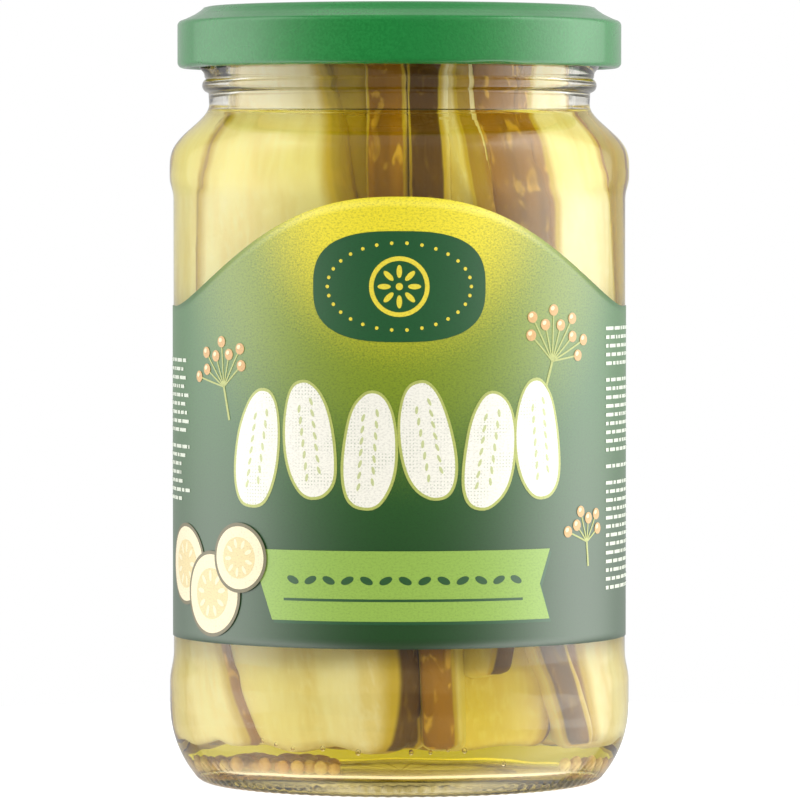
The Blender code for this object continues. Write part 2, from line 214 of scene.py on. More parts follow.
def blend(tree, share, first, second, mode="MIX"):
    """A mix of two colours."""
    item = add_node(tree, "ShaderNodeMix", data_type="RGBA", blend_type=mode)
    put(item.inputs["Factor"], share)
    put(item.inputs[6], first)
    put(item.inputs[7], second)
    return item.outputs[2]


def blend_value(tree, share, first, second):
    """A mix of two values."""
    inputs = {"Factor": share, "A": first, "B": second}
    return add_node(tree, "ShaderNodeMix", inputs, data_type="FLOAT").outputs[0]


def speckle(tree, vector, scale, detail=2.0, roughness=0.5, distortion=0.0):
    """A noise texture's value."""
    inputs = {"Vector": vector, "Scale": scale, "Detail": detail, "Roughness": roughness,
              "Distortion": distortion}
    return add_node(tree, "ShaderNodeTexNoise", inputs).outputs["Fac"]


def stretch(tree, vector, sizes):
    """A vector with each of its parts multiplied by its own size."""
    inputs = {"Vector": vector, "Scale": sizes}
    return add_node(tree, "ShaderNodeMapping", inputs).outputs["Vector"]


def bump(tree, height, distance, strength=1.0):
    """A bump made from a height."""
    inputs = {"Height": height, "Distance": distance, "Strength": strength}
    return add_node(tree, "ShaderNodeBump", inputs).outputs["Normal"]


def new_material(name):
    """An empty Principled material, its node tree and its shader."""
    material = bpy.data.materials.new(name)
    material.use_nodes = True
    tree = material.node_tree
    return material, tree, tree.nodes["Principled BSDF"]


def object_place(tree):
    """The place on the object, in metres."""
    return add_node(tree, "ShaderNodeTexCoord").outputs["Object"]


def attribute(tree, name, output="Fac"):
    """A value stored on the mesh."""
    return add_node(tree, "ShaderNodeAttribute", attribute_name=name).outputs[output]


def split(tree, vector):
    """The three parts of a vector."""
    return add_node(tree, "ShaderNodeSeparateXYZ", {0: vector}).outputs


def ray(tree, kind):
    """1 where a ray is of one kind, 0 elsewhere."""
    return add_node(tree, "ShaderNodeLightPath").outputs[kind]


def let_light_through(tree, shader, tint):
    """Lets shadow rays through a clear material, so that light reaches what is inside."""
    clear = add_node(tree, "ShaderNodeBsdfTransparent", {"Color": tint})
    mixer = add_node(tree, "ShaderNodeMixShader")
    for index, value in enumerate((ray(tree, "Is Shadow Ray"), shader.outputs[0], clear.outputs[0])):
        put(mixer.inputs[index], value)
    put(tree.nodes["Material Output"].inputs["Surface"], mixer.outputs[0])


# Materials.

CLEAR_WHITE = grey(1.0)
GLASS_BEND = 1.5
BRINE_BEND = 1.336
BUBBLE_BEND = 0.75


def clear_material(name, bend, shade, depth_colour=None, density=0.0):
    """A clear body: how far it bends light, the shade that it casts, and the colour of its depth."""
    material, tree, shader = new_material(name)
    for socket, value in (("Base Color", CLEAR_WHITE), ("Roughness", 0.0), ("IOR", bend),
                          ("Transmission Weight", 1.0)):
        put(shader.inputs[socket], value)
    if depth_colour:
        depth = add_node(tree, "ShaderNodeVolumeAbsorption", {"Color": depth_colour, "Density": density})
        put(tree.nodes["Material Output"].inputs["Volume"], depth.outputs[0])
    let_light_through(tree, shader, shade)
    return material, tree, shader


def glass_material():
    """Clear flint glass with a warm trace in its depth."""
    material, tree, shader = clear_material(
        "flint_glass", GLASS_BEND, (0.97, 0.98, 0.97), (0.92, 0.83, 0.42), 36.0)
    ripple = speckle(tree, object_place(tree), 70.0, 1.0)
    put(shader.inputs["Normal"], bump(tree, ripple, 0.0004, 0.35))
    return material


def brine_material():
    """Yellow pickling liquid."""
    material, _, shader = clear_material(
        "yellow_brine", BRINE_BEND, (0.99, 0.99, 0.98), (0.95, 0.92, 0.15), 110.0)
    put(shader.inputs["Specular Tint"], grey(0.15))
    return material


def bubble_material():
    """Air seen from inside the brine."""
    return clear_material("air_in_brine", BUBBLE_BEND, CLEAR_WHITE)[0]


def set_surface(tree, shader, look, relief):
    """Sets the colour, roughness and mirror level of an opaque surface, and the relief in it."""
    for socket, value in zip(("Base Color", "Roughness", "Specular IOR Level"), look):
        put(shader.inputs[socket], value)
    put(shader.inputs["Normal"], bump(tree, *relief))


def set_coat(shader, weight, roughness):
    """Lays a coat of varnish over a surface."""
    put(shader.inputs["Coat Weight"], weight)
    put(shader.inputs["Coat Roughness"], roughness)


def pickle_material():
    """Flesh and rind on one piece; the mesh says where the rind lies and how dark it is."""
    material, tree, shader = new_material("pickle")
    place = attribute(tree, "place", "Vector")
    skin = attribute(tree, "skin")
    tone = attribute(tree, "tone")
    cloud = speckle(tree, stretch(tree, place, (1.0, 1.0, 0.25)), 160.0, 3.0)
    grain = speckle(tree, stretch(tree, place, (1.0, 1.0, 0.5)), 900.0, 3.0, 0.6)
    flesh = blend(tree, fade(tree, cloud, 0.35, 0.7), srgb(250, 242, 194), srgb(236, 218, 144))
    flesh = blend(tree, fade(tree, grain, 0.45, 0.75, 0.0, 0.35), flesh, srgb(254, 250, 218))
    rim = fade(tree, calc(tree, "ADD", skin, calc(tree, "MULTIPLY", cloud, 0.16)), 0.72, 0.98)
    flesh = blend(tree, rim, flesh, srgb(206, 178, 50))
    wart = speckle(tree, stretch(tree, place, (1.0, 1.0, 0.6)), 420.0, 2.0, 0.5, 0.4)
    band = speckle(tree, stretch(tree, place, (1.0, 1.0, 0.12)), 260.0, 2.0)
    depth = calc(tree, "ADD", tone, calc(tree, "MULTIPLY", calc(tree, "SUBTRACT", band, 0.5), 1.1))
    rind = blend(tree, fade(tree, depth, 0.1, 0.9), srgb(94, 64, 6), srgb(166, 116, 6))
    rind = blend(tree, fade(tree, depth, 1.0, 1.9), rind, srgb(184, 160, 40))
    fleck = calc(tree, "MULTIPLY", fade(tree, wart, 0.56, 0.70), fade(tree, depth, 0.2, 0.9, 0.12, 0.8))
    fleck = calc(tree, "MULTIPLY", fleck, fade(tree, depth, 1.0, 1.6, 1.0, 0.15))
    rind = blend(tree, fleck, rind, srgb(236, 190, 62))
    colour = blend(tree, fade(tree, skin, 0.90, 0.96), flesh, rind)
    relief = calc(tree, "ADD", calc(tree, "MULTIPLY", wart, skin), calc(tree, "MULTIPLY", grain, 0.15))
    set_surface(tree, shader, (colour, 0.42, 0.15), (relief, 0.0006, 0.6))
    return material


def seed_material():
    """Mustard seed husk, each seed its own shade."""
    material, tree, shader = new_material("mustard_husk_skin")
    shade = attribute(tree, "tone")
    husk = blend(tree, shade, srgb(226, 180, 104), srgb(246, 224, 162))
    cloud = speckle(tree, object_place(tree), 900.0, 2.0)
    husk = blend(tree, fade(tree, cloud, 0.4, 0.7, 0.0, 0.4), husk, srgb(206, 148, 76))
    set_surface(tree, shader, (husk, 0.4, 0.2), (cloud, 0.0002, 0.4))
    return material


def paint_material():
    """Green lacquer on tinplate, with the faint mottle that rolled lacquer has, and pale lacquer inside."""
    material, tree, shader = new_material("green_lacquer")
    place = object_place(tree)
    mottle = speckle(tree, place, 2200.0, 2.0, 0.6)
    cloud = speckle(tree, place, 60.0, 2.0)
    base = blend(tree, fade(tree, mottle, 0.3, 0.7), srgb(26, 118, 52), srgb(34, 130, 60))
    base = blend(tree, fade(tree, cloud, 0.4, 0.65, 0.0, 0.35), base, srgb(22, 108, 48))
    inside = attribute(tree, "inside")
    base = blend(tree, inside, base, srgb(232, 226, 206))
    roughness = fade(tree, cloud, 0.35, 0.7, 0.24, 0.34)
    set_surface(tree, shader, (base, roughness, 0.5), (mottle, 0.00006, 0.5))
    set_coat(shader, 0.55, 0.07)
    return material


def paper_fibres(tree, shader, colour, dark):
    """Gives a printed colour the fibres and flecks of the label's paper."""
    sheet = attribute(tree, "sheet", "Vector")
    fibre = speckle(tree, stretch(tree, sheet, (1.0, 1.6, 1.0)), 2300.0, 3.0, 0.7)
    fleck = speckle(tree, sheet, 3600.0, 2.0, 0.7)
    worn = calc(tree, "MULTIPLY", fade(tree, fibre, 0.42, 0.66), fade(tree, fleck, 0.35, 0.65, 0.35, 1.0))
    colour = blend(tree, calc(tree, "MULTIPLY", worn, 0.85), colour, dark)
    set_surface(tree, shader, (colour, 0.40, 1.0), (fibre, 0.00003, 0.5))
    set_coat(shader, 0.55, 0.4)


def label_material():
    """The label's ground: a yellow glow at the top of the front that goes over into deep green."""
    material, tree, shader = new_material("label_print")
    sheet = attribute(tree, "sheet", "Vector")
    parts = split(tree, sheet)
    across = calc(tree, "DIVIDE", parts[0], 0.0285)
    down = calc(tree, "DIVIDE", calc(tree, "SUBTRACT", 0.0935, parts[1]), 0.0300)
    reach = calc(tree, "SQRT", calc(tree, "ADD", calc(tree, "MULTIPLY", across, across),
                                    calc(tree, "MULTIPLY", down, down)))
    dust = speckle(tree, sheet, 3600.0, 3.0, 0.7)
    reach = calc(tree, "ADD", reach, calc(tree, "MULTIPLY", calc(tree, "SUBTRACT", dust, 0.5), 0.5))
    green = blend(tree, fade(tree, parts[1], 0.028, 0.075), srgb(20, 68, 22), srgb(46, 106, 36))
    colour = blend(tree, fade(tree, reach, 0.95, 1.65), srgb(124, 146, 20), green)
    colour = blend(tree, fade(tree, reach, 0.40, 1.00), srgb(237, 222, 38), colour)
    paper_fibres(tree, shader, colour, blend(tree, 0.5, colour, srgb(16, 44, 14)))
    return material


def print_material(name, colour, second=None, worn=0.0):
    """A printed field of one colour, or of a colour that is rubbed through in places."""
    material, tree, shader = new_material(name)
    sheet = attribute(tree, "sheet", "Vector")
    tint = colour
    if second:
        inputs = {"Vector": sheet, "Scale": 1900.0, "Randomness": 0.15}
        dots = add_node(tree, "ShaderNodeTexVoronoi", inputs).outputs["Distance"]
        patch = speckle(tree, sheet, 180.0, 2.0, 0.5)
        rubbed = calc(tree, "MULTIPLY", fade(tree, dots, 0.30, 0.12), fade(tree, patch, 0.42, 0.62))
        tint = blend(tree, calc(tree, "MULTIPLY", rubbed, worn), colour, second)
    darker = tuple(part * 0.72 for part in colour)
    paper_fibres(tree, shader, tint, darker)
    return material


# The table's glow, a painted light, as only the glass sees it: dimmer and warmer in front, between two places
# on Y.
TABLE_FRONT = (-0.060, -0.025)
TABLE_WARM = (-0.050, 0.020)
TABLE_FRONT_GLOW = 0.55
TABLE_GLOW = 1.05
TABLE_LOOK = 0.86


def floor_material():
    """A matt white table that also glows, a painted light that is no lamp, so that it runs into the backdrop
    and lights the jar from below.
    """
    material, tree, shader = new_material("glowing_white_table")
    grain = speckle(tree, object_place(tree), 30.0, 2.0)
    put(shader.inputs["Base Color"], blend(tree, grain, grey(0.42), grey(0.46)))
    put(shader.inputs["Roughness"], 0.9)
    put(shader.inputs["Specular IOR Level"], 0.0)
    back = split(tree, object_place(tree))[1]
    # Painted light: the table glows, evenly white to the camera, and to every other ray dimmer and warmer in
    # front than behind.
    glow = fade(tree, back, *TABLE_FRONT, TABLE_FRONT_GLOW, TABLE_GLOW)
    seen = ray(tree, "Is Camera Ray")
    warm = blend(tree, fade(tree, back, *TABLE_WARM), (1.0, 0.76, 0.36), (1.0, 0.96, 0.84))
    put(shader.inputs["Emission Color"], blend(tree, seen, warm, CLEAR_WHITE))
    put(shader.inputs["Emission Strength"], blend_value(tree, seen, glow, TABLE_LOOK))
    return material


# Mesh helpers.


def new_object(name, data):
    """An object that holds the data, linked to the scene."""
    item = bpy.data.objects.new(name, data)
    bpy.context.scene.collection.objects.link(item)
    return item


def add_piece(name, shape, material, node=None):
    """Links a mesh or a bmesh as a smooth piece that rides on the jar's one body."""
    mesh = mesh_from(shape, name) if isinstance(shape, bmesh.types.BMesh) else shape
    piece = new_object(name, mesh)
    mesh.materials.append(material)
    mesh.shade_smooth()
    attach(piece, ROOT)
    if node:
        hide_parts(node)
    return piece


def mesh_from(bm, name):
    """A mesh with its faces turned outwards, from a bmesh that is then freed."""
    bmesh.ops.recalc_face_normals(bm, faces=bm.faces)
    mesh = bpy.data.meshes.new(name)
    bm.to_mesh(mesh)
    bm.free()
    return mesh


def shares(steps, first=0):
    """Even steps up to 1, from 0 or from a later step."""
    return [index / steps for index in range(first, steps + 1)]


def round_angles(count, first=0.0):
    """The angles of even steps round a circle."""
    return [2 * math.pi * (index + first) / count for index in range(count)]


def polar(angle, radius, height):
    """A place from its angle round Z, its distance from the axis and its height."""
    return Vector((radius * math.cos(angle), radius * math.sin(angle), height))


def squared(value, power):
    """A power of a value that keeps its sign; below 1 it squares what a circle's cosine draws."""
    return math.copysign(abs(value) ** power, value)


def half_wave(share):
    """A share that starts and ends gently."""
    return 0.5 - 0.5 * math.cos(math.pi * share)


def arc(centre_x, centre_z, width, height, start, end, steps):
    """Points of an ellipse's arc in the profile's plane, both ends included."""
    points = []
    for share in shares(steps):
        angle = math.radians(start + (end - start) * share)
        points.append((centre_x + width * math.cos(angle), centre_z + height * math.sin(angle)))
    return points


def line(start, end, steps, ease=None):
    """Points from start to end, without the start; ease bends a straight line into a curve."""
    points = []
    for share in shares(steps, 1):
        across = ease(share) if ease else share
        points.append((start[0] + (end[0] - start[0]) * across, start[1] + (end[1] - start[1]) * share))
    return points


def go_on(points, *legs):
    """Goes on from the last point along straight legs, each given as its end and its steps."""
    for x, z, steps in legs:
        points += line(points[-1], (x, z), steps)


def add_face(bm, corners):
    """A face between corners, of which one may be named twice."""
    bm.faces.new(list(dict.fromkeys(corners)))


def bridge(bm, low, high):
    """Faces between two rings of points, or between a ring and a single point."""
    count = max(len(low), len(high))
    if count == 1:
        return
    for index in range(count):
        add_face(bm, [ring[place % len(ring)] for ring, place in (
            (low, index), (low, index + 1), (high, index + 1), (high, index))])


def join_rings(bm, rings, shift=0):
    """Joins rings into a closed body; each end is closed by faces from one side of its ring to the other."""
    for low, high in zip(rings, rings[1:]):
        bridge(bm, low, high)
    for ring in (rings[0], rings[-1]):
        for index in range((len(ring) - shift) // 2):
            add_face(bm, [ring[place] for place in (index, index + 1, -index - 1 - shift, -index - shift)])


def turned_mesh(name, profile, segments, shape=None, ring=False):
    """A profile of radius and height turned round Z; shape may move a point by its angle."""
    bm = bmesh.new()
    rows = []
    for radius, height in profile:
        if radius < 1e-6:
            rows.append([bm.verts.new((0.0, 0.0, height))])
            continue
        row = []
        for angle in round_angles(segments):
            place = shape(angle, radius, height) if shape else (radius, height)
            row.append(bm.verts.new(polar(angle, *place)))
        rows.append(row)
    pairs = list(zip(rows, rows[1:]))
    if ring:
        pairs.append((rows[-1], rows[0]))
    for low, high in pairs:
        bridge(bm, low, high)
    return mesh_from(bm, name)


# Glass and brine.


def shoulder_spread(share):
    """How far out the shoulder has come at a share of its way down."""
    return 1.0 - (1.0 - share ** SHOULDER_START) ** SHOULDER_END


def shoulder(top, foot, steps):
    """The shoulder's S-curve, from the neck down to the body."""
    return [top] + line(top, foot, steps, shoulder_spread)


def glass_inside():
    """The jar's inside, from the middle of its floor up to the rim."""
    heel_x = INNER_RADIUS - INNER_HEEL_WIDTH
    heel_z = FLOOR_EDGE + INNER_HEEL_HEIGHT
    points = []
    for share in shares(14)[:-1]:
        points.append((heel_x * share, FLOOR_EDGE + FLOOR_RISE * math.cos(share * math.pi / 2) ** 1.5))
    points += arc(heel_x, heel_z, INNER_HEEL_WIDTH, INNER_HEEL_HEIGHT, -90, 0, 14)
    low = UPPER_BUMPER - SHOULDER_DROP
    high = NECK_LOW - SHOULDER_DROP
    points += line(points[-1], (INNER_RADIUS, low), 30)[:-1]
    points += reversed(shoulder((BORE_RADIUS, high), (INNER_RADIUS, low), 22))
    points += line(points[-1], (BORE_RADIUS, GLASS_TOP - RIM_ROUND), 8)
    return points


def glass_outside():
    """The jar's outside, from the rim down to the middle of its base."""
    sweep_centre = BODY_RADIUS - HEEL_SWEEP
    reach = HEEL_SWEEP - FOOT_ROUND
    drop = LOWER_BUMPER_LOW - FOOT_ROUND
    foot_centre = sweep_centre + math.sqrt(reach ** 2 - drop ** 2)
    turn_over = math.degrees(math.atan2(drop, foot_centre - sweep_centre))
    ring_inner = foot_centre - FOOT_RING_WIDTH
    points = arc(BORE_RADIUS + RIM_ROUND, GLASS_TOP - RIM_ROUND, RIM_ROUND, RIM_ROUND, 180, 90, 4)[1:]
    points += arc(FINISH_RADIUS - RIM_ROUND, GLASS_TOP - RIM_ROUND, RIM_ROUND, RIM_ROUND, 90, 0, 4)
    bead_top = NECK_HIGH + BEAD_HEIGHT
    points += line(points[-1], (FINISH_RADIUS, bead_top + 0.0002), 26)
    middle = NECK_HIGH + BEAD_HEIGHT / 2
    points += arc(BEAD_RADIUS - 0.0010, middle, 0.0010, BEAD_HEIGHT / 2, 65, -65, 8)
    points.append((NECK_RADIUS + 0.0001, NECK_HIGH - 0.0001))
    points += line(points[-1], (NECK_RADIUS, NECK_LOW), 3)[:-1]
    points += shoulder((NECK_RADIUS, NECK_LOW), (BODY_RADIUS, UPPER_BUMPER), 26)
    bumper_edge = (BODY_RADIUS, UPPER_BUMPER - UPPER_BUMPER_EDGE)
    points += line(bumper_edge, (PANEL_RADIUS, PANEL_HIGH - PANEL_EDGE), 6, half_wave)
    points += line(points[-1], (PANEL_RADIUS, PANEL_LOW), 20)
    points += line((PANEL_RADIUS, PANEL_LOW), (BODY_RADIUS, LOWER_BUMPER_TOP), 6, half_wave)
    points += line(points[-1], (BODY_RADIUS, LOWER_BUMPER_LOW), 3)[:-1]
    points += arc(sweep_centre, LOWER_BUMPER_LOW, HEEL_SWEEP, HEEL_SWEEP, 0, -turn_over, 14)
    points += arc(foot_centre, FOOT_ROUND, FOOT_ROUND, FOOT_ROUND, -turn_over, -90, 7)[1:]
    points += [(ring_inner - inward, up) for inward, up in FOOT_INNER_EDGE]
    for share in reversed(shares(11)[:-1]):
        height = PUNT_EDGE + (PUNT_RISE - PUNT_EDGE) * (1.0 - share ** 2)
        points.append((ring_inner * PUNT_SHARE * share, height))
    return points


# The glass's surface: knurls under the foot, waves in the wall, and a thread on the finish.
KNURL_COUNT = 110
KNURL_DEPTH = 0.00013
KNURL_HIGH = 0.0022
KNURL_INNER = 0.0262
KNURL_MIDDLE = 0.0275
THREAD_COUNT = 4
THREAD_FIRST_ANGLE = 20.0
THREAD_RUN_OUT = 0.12
THREAD_REACH = 0.0010
THREAD_HIGH = 0.1164
THREAD_FALL = 0.0052
THREAD_HALF = 0.0009
WAVE_DEPTH = 0.00010
WAVE_LOW = 0.0040
WAVE_GROWS = 0.0100
WAVE_FADES = 0.0060
WAVES_ROUND = 3.0
WAVES_PER_METRE = 55.0
OUTER_WAVE = 0.25


def glass_shape(angle, radius, height):
    """Where a point of the glass lies, with its knurls, thread and waves."""
    outside = radius > BORE_RADIUS + 0.0020
    if height < KNURL_HIGH and radius > KNURL_INNER:
        share = math.sin(math.pi * min(1.0, (KNURL_HIGH - height) / KNURL_HIGH))
        ridge = 0.5 + 0.5 * math.cos(angle * KNURL_COUNT)
        radius -= KNURL_DEPTH * max(0.15, share) * ridge
        if radius > KNURL_MIDDLE:
            height += KNURL_DEPTH * 0.7 * ridge * (1.0 - height / KNURL_HIGH)
    elif height > NECK_HIGH + BEAD_HEIGHT and outside:
        turns = (math.degrees(angle) - THREAD_FIRST_ANGLE) / (360.0 / THREAD_COUNT)
        share = turns % 1.0
        middle = THREAD_HIGH - THREAD_FALL * share
        away = (height - middle) / THREAD_HALF
        ends = min(1.0, share / THREAD_RUN_OUT, (1.0 - share) / THREAD_RUN_OUT)
        radius += THREAD_REACH * ends * math.exp(-away * away)
    elif height < NECK_LOW:
        grow = min(1.0, max(0.0, (height - WAVE_LOW) / WAVE_GROWS), (NECK_LOW - height) / WAVE_FADES)
        side = 5.0 if outside and radius > INNER_RADIUS + 0.0008 else 0.0
        wave = noise.noise(polar(angle, WAVES_ROUND, height * WAVES_PER_METRE + side))
        radius = min(BODY_RADIUS, radius + WAVE_DEPTH * wave * grow * (OUTER_WAVE if side else 1.0))
    return radius, height


def push_out(profile, distance):
    """A profile moved outwards, which is down at the floor and sideways at the wall."""
    moved = []
    for index, (x, z) in enumerate(profile):
        before = profile[max(0, index - 1)]
        after = profile[min(len(profile) - 1, index + 1)]
        run = math.hypot(after[0] - before[0], after[1] - before[1])
        out_x = (after[1] - before[1]) / run
        out_z = -(after[0] - before[0]) / run
        moved.append((max(0.0, x + out_x * distance) if x > 0.0 else 0.0, z + out_z * distance))
    return moved


def brine_profile():
    """The brine: the jar's inside up to the meniscus, then the surface back to the axis."""
    edge_height = BRINE_TOP + MENISCUS_RISE
    wall = []
    for plain, pushed in zip(glass_inside(), push_out(glass_inside(), BRINE_BITE)):
        share = min(1.0, max(BRINE_EDGE_BITE, (edge_height - plain[1]) / BRINE_EDGE_FADE))
        wall.append((plain[0] + (pushed[0] - plain[0]) * share, plain[1] + (pushed[1] - plain[1]) * share))
    points = [point for point in wall if point[1] < edge_height]
    edge = points[-1][0]
    for share in shares(25, 1):
        radius = edge * (1.0 - share ** 2.2)
        points.append((radius, BRINE_TOP + MENISCUS_RISE * math.exp(-(edge - radius) / MENISCUS_WIDTH)))
    points[-1] = (0.0, BRINE_TOP)
    return points


def make_glass():
    """The jar itself and the brine inside it."""
    jar = turned_mesh("glass_jar", glass_inside() + glass_outside(), 400, glass_shape)
    add_piece("glass_jar", jar, glass_material(), "jar")
    brine = turned_mesh("brine", brine_profile(), 192)
    add_piece("brine", brine, brine_material())


# Slices.


@dataclass
class Slice:
    """One pickle slice: where it stands, its size, and how amber its rind is at the foot and the tip."""

    angle: float
    reach: float
    turn: float
    width: float
    high: float
    lean: float = 0.0
    bend: float = 0.045
    rind: bool = False
    low: float = SLICE_LOW
    tones: tuple = (0.3, 0.3)
    top: float = TOP_SHARE
    kick: float = 0.0
    foot: float = FOOT_NARROWING
    thick: float = SLICE_THICK
    wrap: float = 1.5


SLICES = (
    Slice(-128.2, 0.0279, 0, 0.0348, 0.1165, lean=-0.0080, bend=0.040, top=0.56, kick=0.0026, foot=0.24,
          tones=(-0.2, 2.0)),
    Slice(-106.0, 0.0196, 0, 0.0240, 0.1150, lean=-0.0030, bend=0.060, rind=True, tones=(1.5, 1.8)),
    Slice(-90.4, 0.0205, 84.8, 0.0235, 0.1165, lean=-0.0029, bend=0.30, tones=(0.10, 0.75), wrap=0.8),
    Slice(-75.2, 0.0212, 72, 0.0235, 0.1165, lean=-0.0022, bend=0.30, tones=(0.8, 0.05)),
    Slice(-68.2, 0.0269, -67.4, 0.0125, 0.1160, lean=-0.0050, bend=0.060, low=0.0178, tones=(0.1, 1.6),
          foot=0.5, thick=0.0044),
    Slice(-52.5, 0.0262, 2, 0.0165, 0.1150, lean=-0.0015, rind=True, low=0.0590, tones=(0.4, 0.8)),
    Slice(-48.6, 0.0239, 76.0, 0.0180, 0.0570, lean=-0.0200, bend=0.20, tones=(0.2, 0.2), top=0.9),
    Slice(-62.0, 0.0222, 0, 0.0220, 0.0570, lean=-0.0020, tones=(0.5, 0.7), top=0.9),
    Slice(-27.0, 0.0281, 0, 0.0205, 0.1140, lean=-0.0080, tones=(0.7, 0.9), kick=0.0050, foot=0.05,
          thick=0.0100),
    Slice(-2.0, 0.0213, 88, 0.0215, 0.1150, lean=0.0015, bend=0.30, tones=(2.1, 2.1)),
    Slice(22.0, 0.0281, 0, 0.0250, 0.1120, lean=0.0020),
    Slice(52.0, 0.0264, 3, 0.0175, 0.1150, lean=-0.0030, rind=True),
    Slice(71.0, 0.0212, 86, 0.0215, 0.1160, lean=0.0020, bend=0.30, tones=(0.7, 0.3)),
    Slice(87.0, 0.0214, 70, 0.0205, 0.1130, lean=0.0020, bend=0.30),
    Slice(109.0, 0.0279, 2, 0.0245, 0.1140, lean=0.0010),
    Slice(135.0, 0.0266, -4, 0.0165, 0.1150, lean=0.0030, rind=True, tones=(0.4, 0.7)),
    Slice(158.0, 0.0279, 0, 0.0185, 0.1140, lean=-0.0010),
    Slice(-176.0, 0.0160, 88, 0.0200, 0.1160, lean=-0.0015, bend=0.30, tones=(2.1, 2.1)),
    Slice(-171.0, 0.0304, 1, 0.0215, 0.1110, bend=0.042, tones=(0.7, 1.6), kick=0.0088, foot=-0.15,
          thick=0.0020),
    Slice(-60.0, 0.0100, 20, 0.0260, 0.1150, bend=0.12),
    Slice(65.0, 0.0110, -15, 0.0250, 0.1140, bend=0.12),
    Slice(175.0, 0.0105, 10, 0.0240, 0.1160, bend=0.12),
)
SLICE_ROWS = 84
SLICE_AROUND = 52
END_ROUNDING = 0.0016
RIND_BULGE = 0.0006
WART_HEIGHT = 0.00035
FLESH_WAVE = 0.00018
FOOT_WAVE = 0.0011
FOOT_WAVE_SHARE = 1.0 / 6.0
END_TAPER = 0.7
WARTS_PER_METRE = 420.0
WAVES_ACROSS = 120.0
WAVES_ALONG = 60.0
WAVES_AT_FOOT = 160.0
RIND_FROM = 0.86
END_THICK = 0.62
SIDE_SQUARENESS = 0.62
FACE_SQUARENESS = 0.30
LEVEL_CROWDING = 0.55


def room_radius(height):
    """How far from the axis a slice may reach: to the wall, and straight in over the shoulder."""
    heel = FLOOR_EDGE + INNER_HEEL_HEIGHT
    if height < heel:
        drop = min(1.0, (heel - height) / INNER_HEEL_HEIGHT)
        return INNER_RADIUS - INNER_HEEL_WIDTH * (1.0 - math.sqrt(1.0 - drop ** 2))
    share = (height - ROOM_NARROWS) / (ROOM_NECK - ROOM_NARROWS)
    return INNER_RADIUS + (BORE_RADIUS - INNER_RADIUS) * min(max(share, 0.0), 1.0)


def slice_point(piece, across, through, share, clear, key):
    """Where one point of a slice lies; across and through run from -1 to 1, share from foot to tip."""
    height = piece.low + (piece.high - piece.low) * share
    long = piece.high - piece.low
    past_waist = max(0.0, (share - WAIST) / (1.0 - WAIST))
    taper = 1.0 - (1.0 - piece.top) * past_waist ** TIP_POWER
    near_tip = max(0.0, 1.0 - (1.0 - share) * long / TIP_ROUNDING)
    taper *= TIP_SHARE + (1.0 - TIP_SHARE) * math.sqrt(max(0.0, 1.0 - near_tip ** 2))
    taper *= 1.0 - piece.foot * max(0.0, 1.0 - share / FOOT_SHARE) ** 2
    near_end = min(share, 1.0 - share) * long / END_ROUNDING
    rounding = math.sqrt(max(0.0, 1.0 - max(0.0, 1.0 - near_end) ** 2))
    half = piece.width * 0.5 * taper
    side = across * half
    side -= math.copysign(END_ROUNDING * END_TAPER * (1.0 - rounding), across) * abs(across)
    edge = max(0.0, abs(across) - RIND_FROM) / (1.0 - RIND_FROM)
    side += math.copysign(RIND_BULGE * edge * (1.0 - through ** 2), across)
    depth = through * piece.thick * 0.5 * (END_THICK + (1.0 - END_THICK) * rounding)
    if piece.rind and through > 0.0:
        depth += END_SLICE_CROWN * (1.0 - across ** 2) * through * rounding
    spot = Vector((side, depth, height))
    skin = skin_share(piece, across, through)
    wart = noise.noise(spot * WARTS_PER_METRE + Vector((key * 7.0, 0.0, 0.0)))
    wave = noise.noise(Vector((side * WAVES_ACROSS, key * 5.0, height * WAVES_ALONG)))
    lift = FLESH_WAVE * wave
    if skin > 0.9:
        lift += WART_HEIGHT * max(0.0, wart)
    side += math.copysign(lift, across) * abs(across) ** 3
    depth += math.copysign(lift, through) * abs(through)
    unevenness = noise.noise(Vector((side * WAVES_AT_FOOT, key * 3.0, 0.0)))
    height += FOOT_WAVE * unevenness * max(0.0, 1.0 - share / FOOT_WAVE_SHARE)
    bent = side / piece.bend
    side = piece.bend * math.sin(bent)
    lean = piece.lean * (share - 0.5)
    swing = piece.kick * max(0.0, 1.0 - share / KICK_SHARE) ** KICK_POWER / piece.reach
    depth -= piece.bend * (1.0 - math.cos(bent))
    stand = math.radians(piece.angle) + swing
    face = stand + math.radians(piece.turn)
    x = piece.reach * math.cos(stand) - lean * math.sin(stand)
    y = piece.reach * math.sin(stand) + lean * math.cos(stand)
    x += depth * math.cos(face) - side * math.sin(face)
    y += depth * math.sin(face) + side * math.cos(face)
    out = math.hypot(x, y)
    room = room_radius(height) - clear
    if out > room:
        x *= room / out
        y *= room / out
    return (x, y, height), spot, skin


def skin_share(piece, across, through):
    """How near a point is to the rind: 1 on it, 0 in the middle of the flesh."""
    skin = abs(across) ** piece.wrap
    if piece.rind and through > 0.0:
        skin = max(skin, min(1.0, 0.55 + through * 0.9))
    return skin


def add_slice(bm, layers, piece, key):
    """Adds one slice to a mesh, as rings from foot to tip with a cap at each end."""
    skin_layer, tone_layer, place_layer = layers
    clear = CLEAR + CLEAR_STEP * (key % 6)
    rings = []
    for level in shares(SLICE_ROWS):
        share = LEVEL_CROWDING * half_wave(level) + (1.0 - LEVEL_CROWDING) * level
        ring = []
        for angle in round_angles(SLICE_AROUND):
            across = squared(math.cos(angle), SIDE_SQUARENESS)
            through = squared(math.sin(angle), FACE_SQUARENESS)
            place, spot, skin = slice_point(piece, across, through, share, clear, key)
            vert = bm.verts.new(place)
            vert[skin_layer] = skin
            vert[tone_layer] = piece.tones[0] + (piece.tones[1] - piece.tones[0]) * share
            vert[place_layer] = spot + Vector((key * 0.05, 0.0, 0.0))
            ring.append(vert)
        rings.append(ring)
    join_rings(bm, rings)


